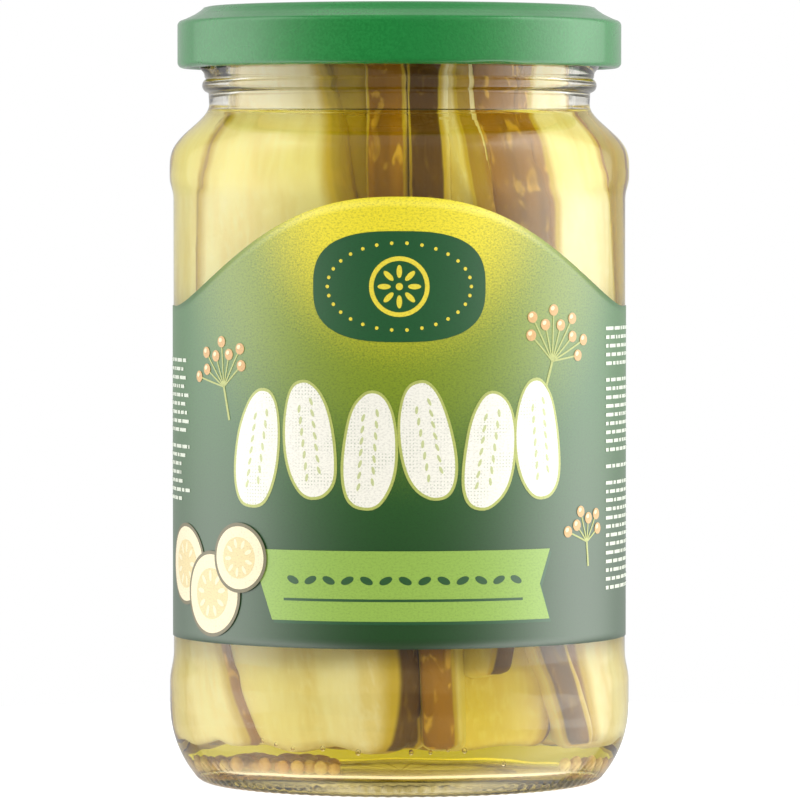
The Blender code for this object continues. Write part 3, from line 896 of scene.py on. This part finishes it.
def slice_layers(bm):
    """The values that a slice's mesh carries for its material."""
    return (bm.verts.layers.float.new("skin"), bm.verts.layers.float.new("tone"),
            bm.verts.layers.float_vector.new("place"))


CORE_GROOVES = 11.0
CORE_GROOVE_DEPTH = 0.0011
CORE_LUMP = 0.0006
CORE_ROUGH_FROM = 0.012
CORE_SMOOTH_SHARE = 0.3


def core_groove(angle, height):
    """A place in the noise, and how far it lies from a groove: 0 in one, 1 between two."""
    place = polar(angle, 2.2, height * 14.0)
    return place, abs(math.sin(angle * CORE_GROOVES + 2.0 * noise.noise(place)))


def core_shape(angle, radius, height):
    """The middle of the heap, grooved like slices that stand side by side."""
    place, groove = core_groove(angle, height)
    grow = 1.0 if radius > CORE_ROUGH_FROM else CORE_SMOOTH_SHARE
    dent = CORE_GROOVE_DEPTH * (1.0 - groove) ** 2 - CORE_LUMP * noise.noise(place * 3.0)
    return radius - dent * grow, height


def core_profile():
    """The middle of the heap, narrower at both ends."""
    points = [(0.0, CORE_HIGH)]
    go_on(points, (CORE_NECK_RADIUS, CORE_HIGH, 6), (CORE_RADIUS, CORE_SHOULDER, 10),
          (CORE_RADIUS, CORE_HEEL, 50), (CORE_FOOT_RADIUS, CORE_LOW, 6), (0.0, CORE_LOW, 6))
    return points


def make_core(material):
    """The middle of the heap."""
    mesh = turned_mesh("heap_middle", core_profile(), 176, core_shape)
    skin = mesh.attributes.new("skin", "FLOAT", "POINT")
    tone = mesh.attributes.new("tone", "FLOAT", "POINT")
    place = mesh.attributes.new("place", "FLOAT_VECTOR", "POINT")
    for index, vert in enumerate(mesh.vertices):
        groove = core_groove(math.atan2(vert.co.y, vert.co.x), vert.co.z)[1]
        skin.data[index].value = min(1.0, 1.15 - groove * 0.9)
        tone.data[index].value = 0.4
        place.data[index].vector = vert.co
    return add_piece("heap_middle", mesh, material)


def make_pickles():
    """Every slice, in two pieces: those with flesh on both faces, and the end slices."""
    material = pickle_material()
    for name, slot, rind in (("pickle_slices", "pickle_flesh", False), ("pickle_ends", "pickle_rind", True)):
        bm = bmesh.new()
        layers = slice_layers(bm)
        for key, piece in enumerate(SLICES):
            if piece.rind == rind:
                add_slice(bm, layers, piece, key)
        add_piece(name, bm, material, None if rind else "pickles")
    make_core(material)


# Seeds and bubbles.

SEED_RADIUS = 0.00105
SEED_RING_INNER = 0.0205
SEED_RING_OUTER = 0.0286
SEED_TRIES = 2600
SEED_RANDOM = 5
SEED_GAP_LEFT = -0.0070
SEED_GAP_RIGHT = 0.0225
SEED_GAP_FADE = 0.0050
# Bubbles on the front of the heel: column and row in the photograph, and width in millimetres.
BUBBLES = (
    (245, 744, 0.7), (260, 747, 0.6), (278, 750, 0.6), (312, 749, 0.75), (352, 752, 0.85), (413, 752, 0.75),
    (435, 752, 0.6), (455, 750, 0.55), (474, 751, 0.75), (523, 764, 0.7),
)
PHOTO_MIDDLE = 399.3
PHOTO_ROW = 200
PHOTO_ROW_HEIGHT = 0.0911
PIXELS_PER_METRE = 6600.0


def floor_height(radius):
    """Height of the jar's inner floor or heel at a distance from the axis."""
    profile = glass_inside()
    for (low_x, low_z), (high_x, high_z) in zip(profile, profile[1:]):
        if low_x <= radius <= high_x and high_x > low_x:
            return low_z + (high_z - low_z) * (radius - low_x) / (high_x - low_x)
    return FLOOR_EDGE


def seed_places():
    """Seeds dropped one by one into the groove of the floor, each resting on it or on its neighbours."""
    draw = random.Random(SEED_RANDOM)
    placed = []
    heights = {}
    for _ in range(SEED_TRIES):
        size = SEED_RADIUS * draw.uniform(0.85, 1.08)
        radius = draw.uniform(SEED_RING_INNER, SEED_RING_OUTER)
        angle = draw.uniform(0.0, 2 * math.pi)
        past_gap = max(SEED_GAP_LEFT - radius * math.cos(angle), radius * math.cos(angle) - SEED_GAP_RIGHT)
        if draw.random() > 0.02 + past_gap / SEED_GAP_FADE:
            continue
        key = round(radius, 5)
        if key not in heights:
            heights[key] = floor_height(radius)
        x = radius * math.cos(angle)
        y = radius * math.sin(angle)
        z = heights[key] + size * 1.05
        if all(math.dist((x, y, z), other[:3]) > (size + other[3]) * 0.98 for other in placed):
            placed.append((x, y, z, size, draw.random()))
    return placed


def make_seeds():
    """The mustard seeds on the floor of the jar."""
    bm = bmesh.new()
    tone = bm.verts.layers.float.new("tone")
    for x, y, z, size, shade in seed_places():
        made = bmesh.ops.create_icosphere(bm, subdivisions=3, radius=size)["verts"]
        for vert in made:
            lump = 1.0 + 0.07 * noise.noise(vert.co * 900.0 + Vector((x, y, z)) * 3000.0)
            vert.co = Vector((x, y, z)) + vert.co * lump
            vert[tone] = shade
    add_piece("mustard_seed_layer", bm, seed_material(), "mustard_seeds")


def make_bubbles():
    """Small air bubbles that hang on the wall by the heel."""
    bm = bmesh.new()
    for column, row, size in BUBBLES:
        height = PHOTO_ROW_HEIGHT - (row - PHOTO_ROW) / PIXELS_PER_METRE
        across = (column - PHOTO_MIDDLE) / PIXELS_PER_METRE
        angle = math.asin(across / BODY_RADIUS) * 0.95 - math.pi / 2
        radius = room_radius(height) - size * MM * 0.55
        made = bmesh.ops.create_icosphere(bm, subdivisions=3, radius=size * MM * 0.5)["verts"]
        for vert in made:
            vert.co.z *= 1.15
            vert.co += polar(angle, radius, height)
    add_piece("air_bubbles", bm, bubble_material())


# Cap.


# How the ring's two edges are rounded: how far out from the edge, how far down, and in how many steps.
RING_INNER_ROUNDING = ((-0.0002, 0.0001, 3), (0.0003, 0.0, 1))
RING_ROUNDING = ((-0.0004, 0.0, 3), (0.0002, 0.00015, 1), (0.0007, 0.0006, 1))
CAP_SEGMENTS = 256
CAP_INNER_ROWS = 11


def cap_profile():
    """The cap's section: out over its top, down the skirt, round the curl and back under the sheet."""
    curl_x = CAP_RADIUS - CURL_RADIUS
    round_x = CAP_RADIUS - SKIRT_ROUND
    panel = CAP_TOP - PANEL_DROP
    button = panel + BUTTON_STEP
    over = [(0.0, button)]
    go_on(over, (BUTTON_RADIUS - PANEL_STEP, button, 8), (BUTTON_RADIUS, panel, 3),
          (RING_INNER_RADIUS - PANEL_STEP, panel, 8))
    for edge, rounding in ((RING_INNER_RADIUS, RING_INNER_ROUNDING), (RING_RADIUS, RING_ROUNDING)):
        for out, down, steps in rounding:
            go_on(over, (edge + out, CAP_TOP - down, steps))
    go_on(over, (SLOPE_RADIUS - 0.0003, SLOPE_HEIGHT + 0.0001, 3))
    over += line(over[-1], (round_x, SKIRT_TOP + SKIRT_ROUND), 5)[:-1]
    over += arc(round_x, SKIRT_TOP, SKIRT_ROUND, SKIRT_ROUND, 62, 0, 7)
    over += line(over[-1], (CAP_RADIUS, CURL_CENTRE_HEIGHT), 12)[:-1]
    curl = arc(curl_x, CURL_CENTRE_HEIGHT, CURL_RADIUS, CURL_RADIUS, 0, -300, 26)
    inside = CAP_RADIUS - CAP_SHEET
    under = line((inside, CURL_CENTRE_HEIGHT + 0.0012), (inside, SKIRT_TOP - CAP_SHEET * 0.5), 6)
    under.append((SLOPE_RADIUS, SLOPE_HEIGHT - CAP_SHEET * 1.5))
    under.append((RING_RADIUS + CAP_SHEET * 0.5, CAP_TOP - CAP_SHEET))
    under.append((RING_INNER_RADIUS + CAP_SHEET * 0.5, CAP_TOP - CAP_SHEET))
    under.append((RING_INNER_RADIUS - PANEL_STEP + CAP_SHEET * 0.5, panel - CAP_SHEET))
    under.append((0.0, panel - CAP_SHEET))
    return over + curl + under


def cap_shape(angle, radius, height):
    """Where a point of the cap lies: the lugs are pressed inwards out of the curl."""
    spacing = 360.0 / LUG_COUNT
    away = abs((math.degrees(angle) - LUG_FIRST_ANGLE + spacing / 2) % spacing - spacing / 2)
    if away < LUG_HALF_ANGLE and height < CURL_CENTRE_HEIGHT + CURL_RADIUS:
        window = math.cos(away / LUG_HALF_ANGLE * math.pi / 2) ** 2
        inner = (CAP_RADIUS - radius) / (2 * CURL_RADIUS)
        radius -= LUG_REACH * window * max(0.0, inner)
    return radius, height


def make_cap():
    """The lacquered twist-off cap."""
    profile = cap_profile()
    mesh = turned_mesh("twist_cap", profile, CAP_SEGMENTS, cap_shape)
    inside = mesh.attributes.new("inside", "FLOAT", "POINT")
    first = (len(profile) - CAP_INNER_ROWS) * CAP_SEGMENTS
    for index in range(len(mesh.vertices)):
        inside.data[index].value = 1.0 if index > first else 0.0
    add_piece("twist_cap", mesh, paint_material(), "lid")


# Label and its print.


def label_top(run):
    """Height of the label's upper edge at a distance along the paper from the middle of its front."""
    share = min(abs(run) / ARCH_HALF_WIDTH, 1.0)
    return LABEL_PEAK - ARCH_DROP * (math.sin(share * math.pi / 2) ** 2) ** ARCH_POWER


def on_label(run, height, radius):
    """A place on the label from its distance along the paper and its height."""
    return polar(run / LABEL_RADIUS - math.pi / 2, radius, height)


def make_label():
    """The paper band, with a lap at the back."""
    half = math.pi * LABEL_RADIUS
    columns = 360
    rows = 40
    bm = bmesh.new()
    sheet = bm.verts.layers.float_vector.new("sheet")
    rings = []
    for share in shares(columns):
        run = -half + (2 * half + LABEL_LAP) * share
        lift = LAP_LIFT * min(1.0, max(0.0, (run - half + LAP_RAMP) / LAP_RAMP))
        top = label_top((run + half) % (2 * half) - half)
        up = [(level, LABEL_RADIUS - LABEL_INSET) for level in shares(rows)]
        down = [(level, PANEL_RADIUS + LABEL_GAP) for level in reversed(shares(rows))]
        ring = []
        for level, radius in up + down:
            height = LABEL_LOW + (top - LABEL_LOW) * level
            vert = bm.verts.new(on_label(run, height, radius + lift))
            vert[sheet] = Vector((run, height, 0.0))
            ring.append(vert)
        rings.append(ring)
    join_rings(bm, rings, 1)
    add_piece("paper_label", bm, label_material(), "label")


def print_shapes(name, outlines, material, layer):
    """Prints flat shapes on the label: outlines in mm along the paper and mm of height."""
    bm = bmesh.new()
    sheet = bm.verts.layers.float_vector.new("sheet")
    for outline in outlines:
        corners = [bm.verts.new((run * MM, height * MM, 0.0)) for run, height in outline]
        bm.faces.new(corners)
    bmesh.ops.triangulate(bm, faces=bm.faces, ngon_method="EAR_CLIP")
    runs = [vert.co.x for vert in bm.verts]
    cut = math.floor(min(runs) / MM) + 1
    while cut * MM < max(runs):
        geometry = list(bm.verts) + list(bm.edges) + list(bm.faces)
        bmesh.ops.bisect_plane(bm, geom=geometry, dist=1e-7, plane_co=(cut * MM, 0.0, 0.0),
                               plane_no=(1.0, 0.0, 0.0))
        cut += 1
    made = bmesh.ops.extrude_face_region(bm, geom=list(bm.faces))["geom"]
    raised = {item for item in made if isinstance(item, bmesh.types.BMVert)}
    radius = LABEL_RADIUS - LABEL_INSET + PRINT_STEP * layer
    for vert in bm.verts:
        run, height = vert.co.x, vert.co.y
        vert[sheet] = Vector((run, height, 0.0))
        vert.co = on_label(run, height, radius + (PRINT_THICK if vert in raised else -PRINT_STEP * 0.5))
    piece = add_piece(name, bm, material)
    piece.data.set_sharp_from_angle(angle=PRINT_SHARP)
    return piece


def turned(run, height, x, y, tilt):
    """A place beside another one, turned round it by an angle."""
    lean = math.radians(tilt)
    return run + x * math.cos(lean) - y * math.sin(lean), height + x * math.sin(lean) + y * math.cos(lean)


def ellipse(run, height, half_run, half_height, tilt=0.0, steps=40, power=1.0):
    """An oval's outline; a power below 1 squares it."""
    points = []
    for angle in round_angles(steps):
        x = half_run * squared(math.cos(angle), power)
        y = half_height * squared(math.sin(angle), power)
        points.append(turned(run, height, x, y, tilt))
    return points


def oval_ring(centre, reach, size, count, steps, first=0.0, turn=True):
    """Small ovals on a ring, each turned outwards."""
    ovals = []
    for angle in round_angles(count, first):
        place = (centre[0] + reach[0] * math.cos(angle), centre[1] + reach[1] * math.sin(angle))
        ovals.append(ellipse(*place, *size, math.degrees(angle) if turn else 0.0, steps))
    return ovals


PRINTED_SLICE = (3.9, 8.7)


def slice_outline(run, height, tilt, key, grow=0.0, steps=56):
    """The outline of a lengthwise gherkin slice: long, a little bent and uneven."""
    half_run, half_height = PRINTED_SLICE
    points = []
    for angle in round_angles(steps):
        rough = 1.0 + 0.045 * noise.noise(polar(angle, 1.4, key))
        x = (half_run + grow) * squared(math.cos(angle), 0.85) * rough
        y = (half_height + grow) * squared(math.sin(angle), 0.92) * rough
        x += half_run * 0.16 * (1.0 - (y / half_height) ** 2) * math.sin(key * 2.0)
        x *= 1.0 - 0.10 * y / half_height
        points.append(turned(run, height, x, y, tilt))
    return points


BADGE_PLACE = (0.0, 78.0)


def make_badge():
    """A squared oval badge with a round cut of gherkin and a ring of dots."""
    green = print_material("print_deep_green", srgb(20, 84, 40))
    yellow = print_material("print_yellow", srgb(232, 214, 60))
    dots = oval_ring(BADGE_PLACE, (11.1, 6.6), (0.28, 0.28), 30, 10, turn=False)
    seeds = oval_ring(BADGE_PLACE, (2.3, 2.3), (1.0, 0.42), 8, 16)
    seeds.append(ellipse(*BADGE_PLACE, 0.55, 0.55, steps=16))
    print_shapes("badge_ground", [ellipse(*BADGE_PLACE, 13.4, 8.4, steps=96, power=0.72)], green, 2)
    print_shapes("badge_motif_ground", [ellipse(*BADGE_PLACE, 4.6, 4.6)], yellow, 3)
    print_shapes("badge_motif_flesh", [ellipse(*BADGE_PLACE, 3.9, 3.9)], green, 4)
    print_shapes("badge_motif_seeds", seeds, yellow, 5)
    print_shapes("badge_dots", dots, yellow, 3)


def make_slice_row():
    """A row of pale slice shapes with a fine outline, in place of the large word."""
    edge = print_material("print_lime_edge", srgb(176, 186, 96))
    white = print_material("print_chalk", srgb(240, 240, 232), srgb(70, 116, 62), 0.55)
    pip = print_material("print_pip", srgb(196, 206, 150))
    rims = []
    fields = []
    pips = []
    for index in range(6):
        run = -23.4 + 9.3 * index
        height = 53.9 + (0.8 if index % 2 else -0.7)
        tilt = (-9.0, 7.0, -4.0, 10.0, -8.0, 5.0)[index]
        rims.append(slice_outline(run, height, tilt, index * 1.7, 0.45))
        fields.append(slice_outline(run, height, tilt, index * 1.7))
        for place in range(-3, 4):
            for side in (-1.05, 1.05):
                along = place * 1.75 + (0.5 if side > 0 else -0.4)
                centre = turned(run, height, side, along, tilt)
                pips.append(ellipse(*centre, 0.24, 0.62, tilt + side * 14.0, 14))
    print_shapes("slice_row_edges", rims, edge, 2)
    print_shapes("slice_row", fields, white, 3)
    print_shapes("slice_row_pips", pips, pip, 4)


def make_ribbon():
    """The light green ribbon with a swallowtail, and a plain dark rule with leaf dots on it."""
    light = print_material("print_light_green", srgb(140, 178, 72))
    dark = print_material("print_dark_line", srgb(34, 84, 40))
    under = print_material("print_shadow_green", srgb(26, 84, 44))
    ribbon = [(-24.6, 37.9), (25.0, 37.9), (23.0, 32.6), (24.9, 27.2), (-20.5, 27.2)]
    print_shapes("ribbon_shadow", [[(run + 0.4, height - 0.5) for run, height in ribbon]], under, 2)
    print_shapes("ribbon", [ribbon], light, 3)
    leaves = []
    for index in range(13):
        run = -16.8 + 2.95 * index
        leaves.append(ellipse(run, 33.4, 1.05, 0.55, 24.0 if index % 2 else -24.0, 18))
    print_shapes("ribbon_leaves", leaves, dark, 4)
    print_shapes("ribbon_rule", [bar(-18.4, 30.2, 38.2, 0.4)], dark, 4)


def strip(start, end, thick):
    """A thin straight stroke between two places."""
    run = end[0] - start[0]
    rise = end[1] - start[1]
    long = math.hypot(run, rise)
    side_x = -rise / long * thick / 2
    side_y = run / long * thick / 2
    return [(start[0] + side_x, start[1] + side_y), (start[0] - side_x, start[1] - side_y),
            (end[0] - side_x, end[1] - side_y), (end[0] + side_x, end[1] + side_y)]


def make_umbels():
    """Dill heads printed at both sides: fine stalks that spread from a stem, with a seed on each."""
    stalk = print_material("print_stalk", srgb(168, 178, 84))
    ochre = print_material("print_seed", srgb(206, 158, 84))
    pale = print_material("print_seed_light", srgb(244, 222, 176))
    heads = (((25.5, 66.5), 8.5, 72.0, 9), ((-30.5, 62.5), 7.5, 104.0, 8), ((33.6, 38.6), 5.4, 96.0, 6))
    stalks, seeds, lights = [], [], []
    for (run, height), long, aim, count in heads:
        foot = turned(run, height, long * 0.7, 0.0, aim + 180.0)
        stalks.append(strip(foot, (run, height), 0.42))
        for index in range(count):
            reach = long * (0.92 if index % 2 else 0.68)
            tip = turned(run, height, reach, 0.0, aim + 128.0 * (index / (count - 1) - 0.5))
            stalks.append(strip((run, height), tip, 0.26))
            seeds.append(ellipse(tip[0], tip[1], 0.92, 0.88, steps=22))
            lights.append(ellipse(tip[0] - 0.24, tip[1] + 0.28, 0.40, 0.32, 30.0, 16))
    for layer, stroke in enumerate(stalks):
        print_shapes(f"printed_stalk_{layer}", [stroke], stalk, 2)
    print_shapes("printed_seeds", seeds, ochre, 3)
    print_shapes("printed_seed_lights", lights, pale, 4)


def make_coins():
    """Three round cuts of gherkin printed side by side at the label's lower left."""
    rind = print_material("print_rind", srgb(92, 84, 30))
    flesh = print_material("print_flesh", srgb(238, 226, 190))
    inner = print_material("print_flesh_middle", srgb(222, 204, 146))
    coins = ((-42.2, 34.8, 6.6), (-33.6, 30.6, 6.9), (-27.0, 36.4, 5.6))
    for index, (run, height, size) in enumerate(coins):
        layer = 5 + index * 4
        reach = (size * 0.40, size * 0.40)
        seeds = oval_ring((run, height), reach, (size * 0.13, size * 0.055), 9, 14, index * 0.3)
        whole = ellipse(run, height, size, size * 0.96, steps=56)
        cut = ellipse(run, height, size - 0.55, size * 0.96 - 0.55, steps=56)
        middle = ellipse(run, height, size * 0.60, size * 0.57, steps=44)
        parts = (("rind_", [whole], rind), ("", [cut], flesh), ("middle_", [middle], inner),
                 ("seeds_", seeds, flesh))
        for step, (part, outlines, ink) in enumerate(parts):
            print_shapes(f"printed_coin_{part}{index}", outlines, ink, layer + step)


def bar(run, height, length, thick):
    """A short bar, as a line of small print looks from afar."""
    return [(run, height), (run + length, height), (run + length, height + thick), (run, height + thick)]


def make_small_print():
    """Columns of thin pale bars at both sides and round the back, in place of small print."""
    pale = print_material("print_pale_bars", srgb(214, 224, 208))
    dark = print_material("print_dark_bars", srgb(30, 66, 40))
    draw = random.Random(23)
    bars = []
    columns = ((39.6, 17.0, 71.0, 30.0, 1.35), (-57.0, 16.6, 66.0, 44.0, 1.35), (62.0, 20.0, 70.0, 52.0, 1.5),
               (-84.0, 22.0, 70.0, 52.0, 1.5))
    for left, wide, top, low, pitch in columns:
        height = top
        while height > low:
            run = left
            line_end = left + wide * draw.uniform(0.72, 1.0)
            while run < line_end:
                length = draw.uniform(0.8, 3.2)
                bars.append(bar(run, height, min(length, line_end - run + 0.3), 0.55))
                run += length + 0.5
            height -= pitch if draw.random() > 0.12 else pitch * 1.9
    print_shapes("small_print", bars, pale, 2)
    print_shapes("back_panels", [bar(66.0, 26.0, 22.0, 21.0), bar(-88.0, 27.0, 24.0, 17.0)], pale, 2)
    marks = []
    for row in range(7):
        marks.append(bar(68.0, 28.4 + row * 2.5, 7.0 + (row % 3) * 1.6, 0.6))
        marks.append(bar(81.5, 28.4 + row * 2.5, 4.0, 0.6))
    run = -86.0
    while run < -66.4:
        width = draw.choice((0.3, 0.45, 0.7))
        marks.append(bar(run, 29.0, width, 13.2))
        run += width + draw.choice((0.35, 0.5, 0.8))
    print_shapes("back_marks", marks, dark, 3)


def make_print():
    """Everything printed on the label."""
    make_badge()
    make_slice_row()
    make_ribbon()
    make_umbels()
    make_coins()
    make_small_print()


# Studio.


def ramp(tree, value, stops):
    """A grey ramp: pairs of place and brightness."""
    item = add_node(tree, "ShaderNodeValToRGB", {"Fac": value})
    marks = item.color_ramp.elements
    while len(marks) < len(stops):
        marks.new(0.5)
    for mark, (place, level) in zip(marks, stops):
        mark.position = place
        mark.color = (level, level, level, 1.0)
    return item.outputs["Color"]


# Light from each direction round the jar, in degrees from the camera's side, and from above.
SOFTBOX_SCALE = 4.0
SOFTBOX_STOPS = (
    (-180, 0.60), (-135, 0.60), (-132, 1.10), (-104, 2.20), (-84, 2.40), (-56, 0.85), (-40, 0.32),
    (-20, 0.09), (0, 0.07), (20, 0.09), (40, 0.34), (56, 0.95), (84, 2.90), (104, 3.00), (132, 1.35),
    (135, 0.60), (180, 0.60),
)
TOP_LIGHT = 0.30
THROUGH_LIGHT = 0.78
THROUGH_FRONT = 0.50
TABLE_RADIUS = 0.16


def make_studio():
    """White backdrop, a tall softbox on each side, a broad light above, and a white table."""
    world = bpy.data.worlds.new("studio")
    bpy.context.scene.world = world
    world.use_nodes = True
    tree = world.node_tree
    ground = tree.nodes["Background"]
    put(ground.inputs["Color"], CLEAR_WHITE)
    right, back, high = split(tree, add_node(tree, "ShaderNodeTexCoord").outputs["Generated"])
    turn = calc(tree, "ARCTAN2", right, calc(tree, "MULTIPLY", back, -1.0))
    around = calc(tree, "ADD", calc(tree, "DIVIDE", turn, 2 * math.pi), 0.5)
    band = ramp(tree, around, [(0.5 + way / 360.0, level / SOFTBOX_SCALE) for way, level in SOFTBOX_STOPS])
    level = blend(tree, fade(tree, high, 0.80, 0.88), band, grey(TOP_LIGHT / SOFTBOX_SCALE))
    strength = calc(tree, "MULTIPLY", level, SOFTBOX_SCALE)
    behind = fade(tree, back, -0.35, 0.10, THROUGH_FRONT, THROUGH_LIGHT)
    through = calc(tree, "MULTIPLY", ray(tree, "Is Transmission Ray"), behind)
    strength = calc(tree, "MAXIMUM", strength, through)
    put(ground.inputs["Strength"], blend_value(tree, ray(tree, "Is Camera Ray"), strength, 1.0))
    bm = bmesh.new()
    bmesh.ops.create_circle(bm, cap_ends=True, segments=96, radius=TABLE_RADIUS)
    mesh = bpy.data.meshes.new("table_top")
    bm.to_mesh(mesh)
    bm.free()
    table = new_object("table_top", mesh)
    mesh.materials.append(floor_material())
    table.visible_glossy = False


# Broad lights that light the matt surfaces and leave no mirror image in the glass.
SOFT_LIGHTS = (
    ((-0.9, -1.6, 1.5), 1.4, 21.0),
    ((0.9, -1.6, 1.1), 1.4, 21.0),
)


def make_lights():
    """Large soft lights in front of the jar and above it."""
    for index, (place, size, power) in enumerate(SOFT_LIGHTS):
        light = bpy.data.lights.new(f"soft_light_{index}", "AREA")
        light.shape = "SQUARE"
        light.size = size
        light.energy = power
        lamp = new_object(f"soft_light_{index}", light)
        lamp.location = place
        lamp.rotation_euler = (Vector((0.0, 0.0, 0.06)) - Vector(place)).to_track_quat("-Z", "Y").to_euler()
        lamp.visible_glossy = False
        lamp.visible_transmission = False
        lamp.visible_camera = False


def make_camera():
    """The camera, as far off and as high as the photograph's."""
    lens = bpy.data.cameras.new("camera")
    lens.lens = CAMERA_LENS
    lens.sensor_width = CAMERA_SENSOR
    lens.clip_start = 0.01
    lens.clip_end = 20.0
    camera = new_object("camera", lens)
    camera.location = CAMERA_PLACE
    camera.rotation_euler = (math.radians(90.0 + CAMERA_PITCH), 0.0, 0.0)
    bpy.context.scene.camera = camera


make_camera()
make_studio()
make_lights()
make_glass()
make_pickles()
make_seeds()
make_bubbles()
make_cap()
make_label()
make_print()
bpy.context.scene.view_settings.view_transform = "Standard"
rays = bpy.context.scene.cycles
rays.max_bounces = 28
rays.transmission_bounces = 28
rays.glossy_bounces = 8
rays.transparent_max_bounces = 16
